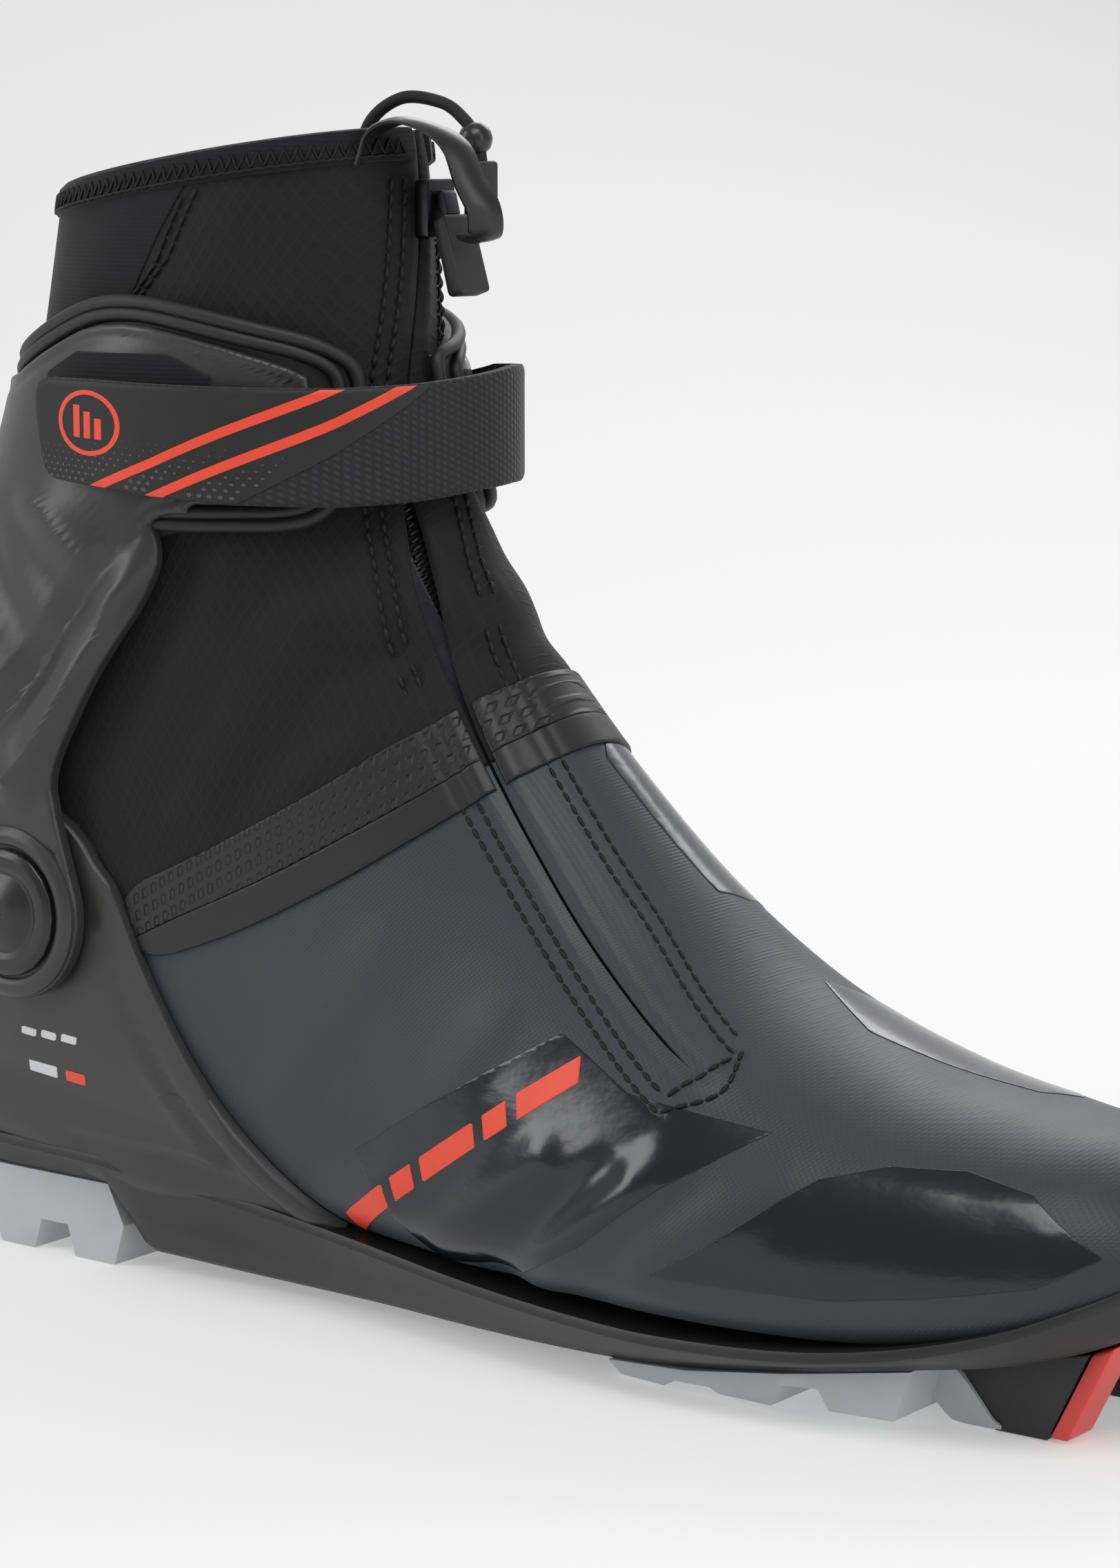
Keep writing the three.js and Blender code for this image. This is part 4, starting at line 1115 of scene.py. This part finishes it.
# Plain ring with three bars inside
EMBLEM = (138.4, 163.4)
ring_outer, ring_inner = circle(EMBLEM, 7.6), circle(EMBLEM, 6.5)
bars = []
for k in range(3):
    left, right = EMBLEM[0] - 3.4 + k * 2.6, EMBLEM[0] - 1.8 + k * 2.6
    foot, head = EMBLEM[1] - 3.6, EMBLEM[1] + 1.2 + k * 1.4
    bars.append([(left, foot), (right, foot), (right, head), (left, head)])


def emblem_ring(point, u, v):
    return np.minimum(strap_map(ring_outer)(point, u, v), -strap_map(ring_inner)(point, u, v))


emblem_area = any_of(emblem_ring, *[strap_map(bar) for bar in bars])
emblem = strap_patch("strap_emblem", (0.8, 1, 200), (150, 172.5, 140), [emblem_area],
                     HALF + 0.08, HALF + 0.2, 0.08, strap_relief)
dress(emblem, "red", "strap")

dots = []
for row in range(8):
    for column in range(30):
        s = 104 + column * 1.7 + 0.85 * (row % 2)
        z = STRAP_LOW + 1.6 + row * 1.45
        size = 0.52 * (1 - row / 9.5) * (1 - 0.5 * abs(column - 12) / 22)
        near_stripe = any(edge_distance(np.array([[s, z]]), stripe)[0] > -0.9 for stripe in STRIPES)
        if s < 151 and size > 0.1 and s > 112 - (z - STRAP_LOW) * 1.05 and not near_stripe:
            dots.append((s, z, size))


def flat_dots(name, spots):
    points, faces = [], []
    angles = np.linspace(0, 2 * math.pi, 9)[:-1]
    for s, z, size in spots:
        start = len(points)
        u = (s + size * np.cos(angles)) / PATH_LENGTH
        v = z + size * np.sin(angles)
        lift = 0.12 * np.sin(u * 23)
        points += on_strap(u, v, HALF + 0.05 + lift).tolist() + on_strap(u, v, HALF + 0.16 + lift).tolist()
        faces.append([start + 8 + k for k in range(8)][::-1])
        faces += [[start + k, start + 8 + k, start + 8 + (k + 1) % 8, start + (k + 1) % 8] for k in range(8)]
    return mesh_object(name, points, faces)


dress(flat_dots("strap_dots", dots), "dots", "strap")
hook = strap_patch("strap_hooks", (0.78, 0.98, 60), (150.5, 171.5, 30), [],
                   -HALF - 0.8, -HALF - 0.3, 0)
dress(hook, "plain", "strap", ["strap_hook_patch"])


# ---- stitches
def stitches(name, rows, surface, pitch=2.7, length=2.2, radius=0.42, lift=0.3, relief=None):
    """Short threads in rows; each row is a dense list of (u, v)."""
    threads = []
    for row in rows:
        row = np.asarray(row, float)
        path = surface(row[:, 0], row[:, 1], np.zeros(len(row)))
        travelled = travel(path)
        for start in np.arange(0.5, travelled[-1] - length, pitch):
            at = start + length * np.linspace(0, 1, 6)
            u, v = np.interp(at, travelled, row[:, 0]), np.interp(at, travelled, row[:, 1])
            swell = np.sin(math.pi * np.linspace(0.06, 0.94, 6)) ** 0.5
            rest = relief(surface(u, v, np.zeros(6)), u, v, np.full(6, 9.0)) if relief else 0
            lower = surface(u, v, rest + lift * swell)
            normal = surface(u, v, np.ones(6)) - surface(u, v, np.zeros(6))
            threads.append(tube(lower, normal, radius * (0.35 + 0.65 * swell), 6))
    return tubes_object(name, threads)


def dense(row, low=None, high=None, count=160):
    line, _ = line_points(row, count)
    if low is not None:
        line = line[(line[:, 0] >= low) & (line[:, 0] <= high)]
    return line


shoe_rows = [dense(row, 0, 8.9) for row in STITCH_ROWS] + [dense(row) for row in STITCH_END]
cuff_rows = [dense(row, 11.6, 16.3) for row in STITCH_ROWS]
flex_rows = [dense(row, 8.9, 11.6) for row in STITCH_ROWS]
dress(stitches("stitches_vamp", shoe_rows, on_skin, relief=vamp_relief), "thread", "shoe")
dress(stitches("stitches_collar", cuff_rows, on_skin, lift=0.75, relief=cloth_relief), "thread", "cuff")
flex_stitches = stitches("stitches_ankle", flex_rows, on_skin, lift=0.75, relief=cloth_relief)
dress(flex_stitches, "thread")
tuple(front_bend[0])
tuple(front_bend[1])
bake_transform(flex_stitches)

# Diagonal seam of the collar
seam_places = np.stack([np.interp(np.linspace(0, 1, 40), [0, 0.35, 1], [21, 28, 34.2]),
                        np.interp(np.linspace(0, 1, 40), [0, 0.55, 1], [183.5, 197, 206.5])], 1)
seam = find_on_skin(seam_places, -1)
dress(stitches("stitches_collar_seam", [seam, np.stack([seam[:, 0], seam[:, 1] - 4], 1)], on_skin, lift=0.35,
               relief=cloth_relief), "thread", "cuff")


# ---- collar binding
HEM = 6.2


def per_level(v):
    """Millimetres to one section number at the collar, by angle."""
    v = np.asarray(v, float)
    rim, below = skin_point(np.full_like(v, COLLAR), v), skin_point(np.full_like(v, COLLAR - 0.5), v)
    return np.linalg.norm(rim - below, axis=-1) * 2


def in_hem(point, u, v):
    return HEM - (COLLAR - u) * per_level(v)


def collar_thread(name, below_rim, amplitude, pitch, radius):
    """Thread round the collar, in zigzags `amplitude` millimetres to each side."""
    angles = np.arange(92, 424, 0.5)
    path = skin_point(np.full(len(angles), 16.9), angles)
    travelled = travel(path)
    fine = np.arange(0, travelled[-1], 0.4)
    v = np.interp(fine, travelled, angles)
    wave = 2 * abs(2 * ((fine / pitch) % 1) - 1) - 1
    u = COLLAR - (below_rim + amplitude * wave) / per_level(v)
    return tubes_object(name, [tube(on_skin(u, v, np.full(len(v), 1.15)), skin_normal(u, v), radius, 5)])


hem_levels = np.concatenate([np.linspace(16.3, 16.8, 14), np.linspace(16.83, 17.0, 7)])
binding = patch("collar_hem", on_skin, hem_levels, np.linspace(86, 430, 240), [in_hem], -6, 1.0, 0.9,
                edges=[lambda point, u, v: (COLLAR - u) * 22])
dress(binding, "plain", "cuff", ["collar_binding"])
dress(collar_thread("collar_zigzag", 3.6, 1.3, 2.4, 0.34), "thread", "cuff")
dress(collar_thread("collar_row", 5.3, 0.12, 2.2, 0.3), "thread", "cuff")


# ---- inside: liner, tongue, insole
def liner_front(point, u, v):
    return abs(v - 92) * 0.55 - 10.5


def liner_quilt(point, u, v, depth):
    ribs = 0.5 * np.sin(u * 2 * math.pi / 0.75) ** 2
    return -ribs * smoothstep(u, 11, 13)


liner_foot = patch("liner_foot", on_skin, (0.6, 10.5, 90), ALL_ROUND,
                   [side_view([(-95, -5), (262, -5), (262, 119), polar(24, 130), polar(30, 30), polar(80, 20),
                               polar(125, 40), polar(125, 230), (-95, 100)], 0),
                    any_of(liner_front, lambda p, u, v: (5.3 - u) * 15)], -5.4, -2.0, 0)
dress(liner_foot, "fleece", "shoe", ["liner_lower"])
liner_leg = patch("liner_leg", on_skin, (7.5, 16.45, 150), ALL_ROUND,
                  [side_view([polar(22, 30), polar(22, 140), (125, 250), (-120, 250), (-120, 140),
                              polar(118, 120), polar(118, 30)], 0), liner_front], -5.6, -1.9, 1.0, liner_quilt)
dress(liner_leg, "fleece", None, ["liner_upper"])
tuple(front_bend[0])
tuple(front_bend[1])
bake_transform(liner_leg)


def tongue_relief(point, u, v, depth):
    return -0.9 * np.cos(u * 2 * math.pi / 1.1) * smoothstep(depth, 1, 5)


tongue = patch("tongue", on_skin, (4.9, 16.5, 140), (64, 124, 60),
               [lambda p, u, v: (u - 4.9) * 14, lambda p, u, v: (16.5 - u) * 9,
                lambda p, u, v: 18 - zipper_distance(p) * 0.9], -9.4, -6.3, 1.4, tongue_relief)
dress(tongue, "fleece", None, ["tongue_lower", "tongue_upper"])
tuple(front_bend[0])
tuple(front_bend[1])
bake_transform(tongue)

# ---- zipper chain and tape
zip_fine = np.array([(t, float(zipper_angle(t))) for t in np.linspace(5.05, 16.9, 900)])
zip_path = on_skin(zip_fine[:, 0], zip_fine[:, 1], np.full(len(zip_fine), -1.5))
zip_length = travel(zip_path)


def zipper_teeth(name, low, high):
    """Coil teeth, alternately from each tape."""
    teeth = []
    start, end = np.interp([low, high], zip_fine[:, 0], zip_length)
    for k, at in enumerate(np.arange(start, end, 0.75)):
        t = np.interp(at, zip_length, zip_fine[:, 0])
        side = 1 if k % 2 else -1
        angle = float(zipper_angle(t))
        step = np.linalg.norm(skin_point(t, angle + 0.5) - skin_point(t, angle - 0.5))
        u, v = np.full(4, t), angle + side * np.array([2.3, 1.4, 0.4, -0.5]) / step
        path = on_skin(u, v, np.array([-2.9, -2.45, -2.4, -2.8]))
        teeth.append(tube(path, skin_normal(u, v), 0.3, 5))
    return tubes_object(name, teeth)


def along_zipper(half):
    return lambda point, u, v: half - zipper_distance(point)


tape_low = patch("zipper_tape", on_skin, (4.9, 16.7, 200), (70, 140, 160),
                 [along_zipper(5.5)], -3.6, -3.0, 0)
dress(tape_low, "plain", None)
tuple(front_bend[0])
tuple(front_bend[1])
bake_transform(tape_low)
teeth = zipper_teeth("zipper_teeth", 5.05, 16.4)
dress(teeth, "zip", None, ["zipper_lower", "zipper_upper"])
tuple(front_bend[0])
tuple(front_bend[1])
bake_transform(teeth)


# ---- moulded parts taken over from the frame
def soften(node, name, material, body, width, segments=3, angle=30):
    """Copy of a CAD node with rounded edges, which stands for it."""
    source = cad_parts[node]
    piece = bpy.data.objects.new(name, source.data.copy())
    bpy.context.scene.collection.objects.link(piece)
    weld = piece.modifiers.new("weld", "WELD")
    weld.merge_threshold = 0.00002
    bevel = piece.modifiers.new("round", "BEVEL")
    bevel.width, bevel.segments, bevel.limit_method = width, segments, "ANGLE"
    bevel.angle_limit, bevel.harden_normals = math.radians(angle), False
    piece.data.shade_smooth()
    piece.data.set_sharp_from_angle(angle=math.radians(60))
    dress(piece, material, body, [node])
    return piece


soften("heel_tread", "heel_tread_rubber", "tread", "shoe", 0.0014)
for side in ("lateral", "medial"):
    soften(f"forefoot_tread_{side}", f"forefoot_tread_{side}_rubber", "tread", "shoe", 0.0009)
    soften(f"toe_insert_{side}", f"toe_insert_{side}_rubber", "red_rubber", "shoe", 0.0006)
    soften(f"pivot_cap_{side}", f"pivot_cap_{side}_moulded", "cap", "cuff", 0.00035, 3, 20)
soften("toe_block", "toe_block_moulded", "sole", "shoe", 0.0008)
soften("toe_bar", "toe_bar_turned", "steel", "shoe", 0.0003, 3, 50)
soften("strap_anchor", "strap_anchor_moulded", "cap", "cuff", 0.0006)
soften("zipper_slider", "zipper_slider_cast", "black_metal", "slider", 0.0009)
soften("zipper_puller", "zipper_puller_cast", "black_metal", "puller", 0.0005)
soften("puller_grip", "puller_grip_moulded", "grip", "puller", 0.0008)
lace_tab = soften("lace_tab", "lace_tab_moulded", "grip", "lace", 0.0007)
lace_bead = soften("lace_bead", "lace_bead_moulded", "cap", "lace", 0.0005, 2, 10)
soften("insole", "insole_cloth", "fleece", "shoe", 0.0008)
soften("lasting_board", "lasting_board_fibre", "board", "shoe", 0.0004)
for side in ("lateral", "medial"):
    for node in ("pivot_bolt", "pivot_washer"):
        soften(f"{node}_{side}", f"{node}_{side}_turned", "steel", "shoe", 0.0002, 2, 40)

# ---- sole
SOLE = np.array([
    [-65.4, 24.8, 18.4, 5, 5, 4],
    [-63, 25, 17.5, 12.5, 12.5, 10.5], [-56, 23, 16.6, 22, 21, 19], [-42, 23, 16.2, 27.5, 26.5, 25],
    [-15, 23, 16, 31, 29.5, 28], [12, 22.8, 15.8, 33.2, 31.5, 28.5], [20, 22.2, 3.4, 33.2, 31.5, 26],
    [45, 19.6, 2.4, 32.4, 30.8, 25], [75, 16.6, 2.2, 34.2, 32.2, 26], [105, 13.8, 2.2, 37.7, 35.2, 29],
    [130, 12.6, 2.8, 40.6, 37.8, 31], [150, 12.6, 4.6, 42.4, 39.9, 33], [175, 14, 8.4, 41.6, 40.2, 34],
    [195, 17, 11.6, 38.6, 38.8, 32], [212, 21.5, 14.4, 33.6, 35.6, 28], [225, 27, 18.2, 27, 30.5, 21],
    [234, 31.5, 23.4, 17, 22, 13], [239, 33.5, 28, 8, 14, 6],
])


def sole_section(row):
    """Loop of the sole: lip, wall, rounded bottom edge, bottom and up the other side."""
    x, top, bottom, lateral, medial, base = row
    wall = top - bottom
    half = [(-lateral + 1.3, top), (-lateral + 0.35, top - 0.1), (-lateral, top - 0.7), (-lateral, top - 1.9),
            (-lateral + 0.5, top - 2.4), (-lateral + 0.5 + (lateral - base) * 0.35, bottom + wall * 0.42),
            (-base - 0.6, bottom + 1.2), (-base + 0.6, bottom + 0.2), (-base + 2.5, bottom)]
    other = [(-y * medial / lateral, z) for y, z in half][::-1]
    return [(x, y, z) for y, z in half + other]


stations = np.linspace(0, len(SOLE) - 1, 150)
linear = np.stack([np.interp(stations, np.arange(len(SOLE)), SOLE[:, k]) for k in range(6)], 1)
curved = spline(SOLE, stations)
near_step = (stations > 4.2) & (stations < 7)
rows = np.where(near_step[:, None], linear, curved)
loops = np.array([sole_section(row) for row in rows])
count = loops.shape[1]
sole_faces = ring_faces(len(loops), count, flip=True)
sole_faces.append(list(range(count)))
sole_faces.append([(len(loops) - 1) * count + j for j in range(count)][::-1])
sole = mesh_object("sole", loops.reshape(-1, 3), sole_faces, smooth=35)
dress(sole, "sole", "shoe", ["sole_plate"])

# Tread slab on the rear face of the toe block
slab_outline = rounded([(184.5, 8.4), (194.6, 10), (196.4, 9.6), (200.2, 5.8), (203.4, 1.9), (204.9, 1.2),
                        (204.9, 0.1), (195.8, 0.1), (193.7, 1.6), (190.3, 4.8), (187.2, 7.0)], 1)
slab_points = [(x, y, z) for y in (-19.5, -18.9, 18.9, 19.5) for x, z in slab_outline]
n = len(slab_outline)
slab_middle = slab_outline.mean(0)
for layer in (0, 3):
    for k in range(n):
        x, y, z = slab_points[layer * n + k]
        slab_points[layer * n + k] = (x + (slab_middle[0] - x) * 0.05, y, z + (slab_middle[1] - z) * 0.05)
slab_faces = ring_faces(4, n) + [list(range(n))[::-1], [3 * n + k for k in range(n)]]
dress(mesh_object("front_tread_slab", slab_points, slab_faces, smooth=35), "tread", "shoe")

# ---- lace pull
LACE_ROUTE = np.array([
    [42.5, 13, 152], [42.5, 13, 180], [42.5, 13, 206], [43.5, 13.6, 217], [50.5, 15, 222.4], [59, 16.5, 221.6],
    [64, 17, 218.4], [66.8, 17, 214.8], [67.9, 17, 211], [67.9, 17, 207.5],
])
LACE_LENGTH, LACE_RADIUS, LACE_STEPS = 101.2, 1.2, 120
lace_path = spline(LACE_ROUTE, np.linspace(0, len(LACE_ROUTE) - 1, LACE_STEPS))
lace_points, lace_faces = tube(lace_path, np.tile([0.0, 1.0, 0.0], (LACE_STEPS, 1)), LACE_RADIUS, 12)
lace = mesh_object("lace_cord_braided", lace_points, lace_faces, smooth=60)
dress(lace, "webbing", "lace", ["lace_cord"])
lace_line = place_in_frame(lace_path).tolist()

# ---- ribbon loop at the collar, over the zipper
RIBBON = np.array([
    [60, -8.5, 211], [63.5, -9, 216.2], [68.5, -7.5, 218], [74, -5, 216.5], [77.5, -2.5, 213], [79, -0.5, 207],
    [80.5, 1.5, 202], [79.5, 3, 197.5], [75.5, 4, 196.5],
])
RIBBON_STEPS, RIBBON_HALF, RIBBON_THICKNESS = 80, 3.4, 0.55
ribbon_path = spline(RIBBON, np.linspace(0, len(RIBBON) - 1, RIBBON_STEPS))
ribbon_turn = np.radians(np.linspace(-20, 40, RIBBON_STEPS))
tangent = np.gradient(ribbon_path, axis=0)
tangent /= np.linalg.norm(tangent, axis=1, keepdims=True)
side_dir = np.stack([np.sin(ribbon_turn), np.cos(ribbon_turn), np.zeros(RIBBON_STEPS)], 1)
side_dir -= (side_dir * tangent).sum(1, keepdims=True) * tangent
side_dir /= np.linalg.norm(side_dir, axis=1, keepdims=True)
face_dir = np.cross(tangent, side_dir)
across = np.linspace(-RIBBON_HALF, RIBBON_HALF, 9)
bow = 0.8 * (1 - (across / RIBBON_HALF) ** 2)
top = (ribbon_path[:, None] + side_dir[:, None] * across[None, :, None]
       + face_dir[:, None] * bow[None, :, None])
bottom = top - face_dir[:, None] * RIBBON_THICKNESS
_, ribbon_tris = grid(np.arange(RIBBON_STEPS), np.arange(len(across)))
ribbon_uv = np.stack(np.meshgrid(np.arange(RIBBON_STEPS) * 0.6, across, indexing="ij"), -1).reshape(-1, 2)
ribbon = shell("pull_ribbon", top.reshape(-1, 3), bottom.reshape(-1, 3), ribbon_tris, ribbon_uv * 0.001, 60)
dress(ribbon, "cap")
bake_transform(ribbon)

# ---- stage, light and camera
CAMERA_PLACE, CAMERA_TILT, CAMERA_TURN, LENS = (0.4624, -0.6094, 0.2119), 81.46, 36.44, 96.2
FLOOR_WIDTH, FLOOR_FRONT, SWEEP_START, SWEEP_RADIUS = 7.0, -7.0, 0.9, 0.8
profile = [(FLOOR_FRONT, 0.0), (SWEEP_START, 0.0)]
profile += [(SWEEP_START + SWEEP_RADIUS * math.sin(a), SWEEP_RADIUS * (1 - math.cos(a)))
            for a in np.linspace(0, math.pi / 2, 20)[1:]]
profile += [(SWEEP_START + SWEEP_RADIUS, 4.0)]
turn = math.radians(CAMERA_TURN)
floor_points, floor_faces = [], []
for depth, height in profile:
    for width in (-FLOOR_WIDTH, FLOOR_WIDTH):
        floor_points.append((width * math.cos(turn) - depth * math.sin(turn),
                             width * math.sin(turn) + depth * math.cos(turn), height - 0.0002))
for k in range(len(profile) - 1):
    floor_faces.append([2 * k, 2 * k + 1, 2 * k + 3, 2 * k + 2])
floor_mesh = bpy.data.meshes.new("studio_floor")
floor_mesh.from_pydata(floor_points, [], floor_faces)
floor_mesh.shade_smooth()
floor = bpy.data.objects.new("studio_floor", floor_mesh)
bpy.context.scene.collection.objects.link(floor)
paper = Shader("studio_paper", (0.6, 0.6, 0.602), 0.9, Emission_Color=(0.9, 0.9, 0.9, 1),
               Emission_Strength=0.36)
paper.grain(0.002, 3, 0.00002, 0.2)
floor.data.materials.append(paper.material)

world = bpy.data.worlds.new("studio")
bpy.context.scene.world = world
world.use_nodes = True
world.node_tree.nodes["Background"].inputs["Color"].default_value = (1, 1, 1, 1)
world.node_tree.nodes["Background"].inputs["Strength"].default_value = 0.36


def area_light(name, place, target, size, power):
    light = bpy.data.lights.new(name, "AREA")
    light.shape, light.size, light.size_y, light.energy = "RECTANGLE", size[0], size[1], power
    lamp = bpy.data.objects.new(name, light)
    lamp.location = place
    direction = np.array(target) - np.array(place)
    direction = direction / np.linalg.norm(direction)
    lamp.rotation_euler = (math.acos(-direction[2]), 0, math.atan2(direction[1], direction[0]) - math.pi / 2)
    bpy.context.scene.collection.objects.link(lamp)


area_light("key", (0.5, -0.5, 1.3), (0, 0, 0.08), (0.8, 0.8), 8.5)
area_light("side", (-0.9, -0.9, 0.7), (0, 0, 0.1), (0.4, 1.0), 5.5)
area_light("front", (1.3, -0.1, 0.5), (0.05, 0, 0.08), (0.4, 0.9), 3)
area_light("back", (-0.3, 1.1, 0.9), (0, 0, 0.12), (1.0, 0.5), 5)

camera_data = bpy.data.cameras.new("camera")
camera_data.lens, camera_data.sensor_width, camera_data.sensor_fit = LENS, 36.0, "AUTO"
camera = bpy.data.objects.new("camera", camera_data)
camera.location = CAMERA_PLACE
camera.rotation_euler = (math.radians(CAMERA_TILT), 0, math.radians(CAMERA_TURN))
bpy.context.scene.collection.objects.link(camera)
bpy.context.scene.camera = camera
bpy.context.scene.view_settings.view_transform = "Standard"
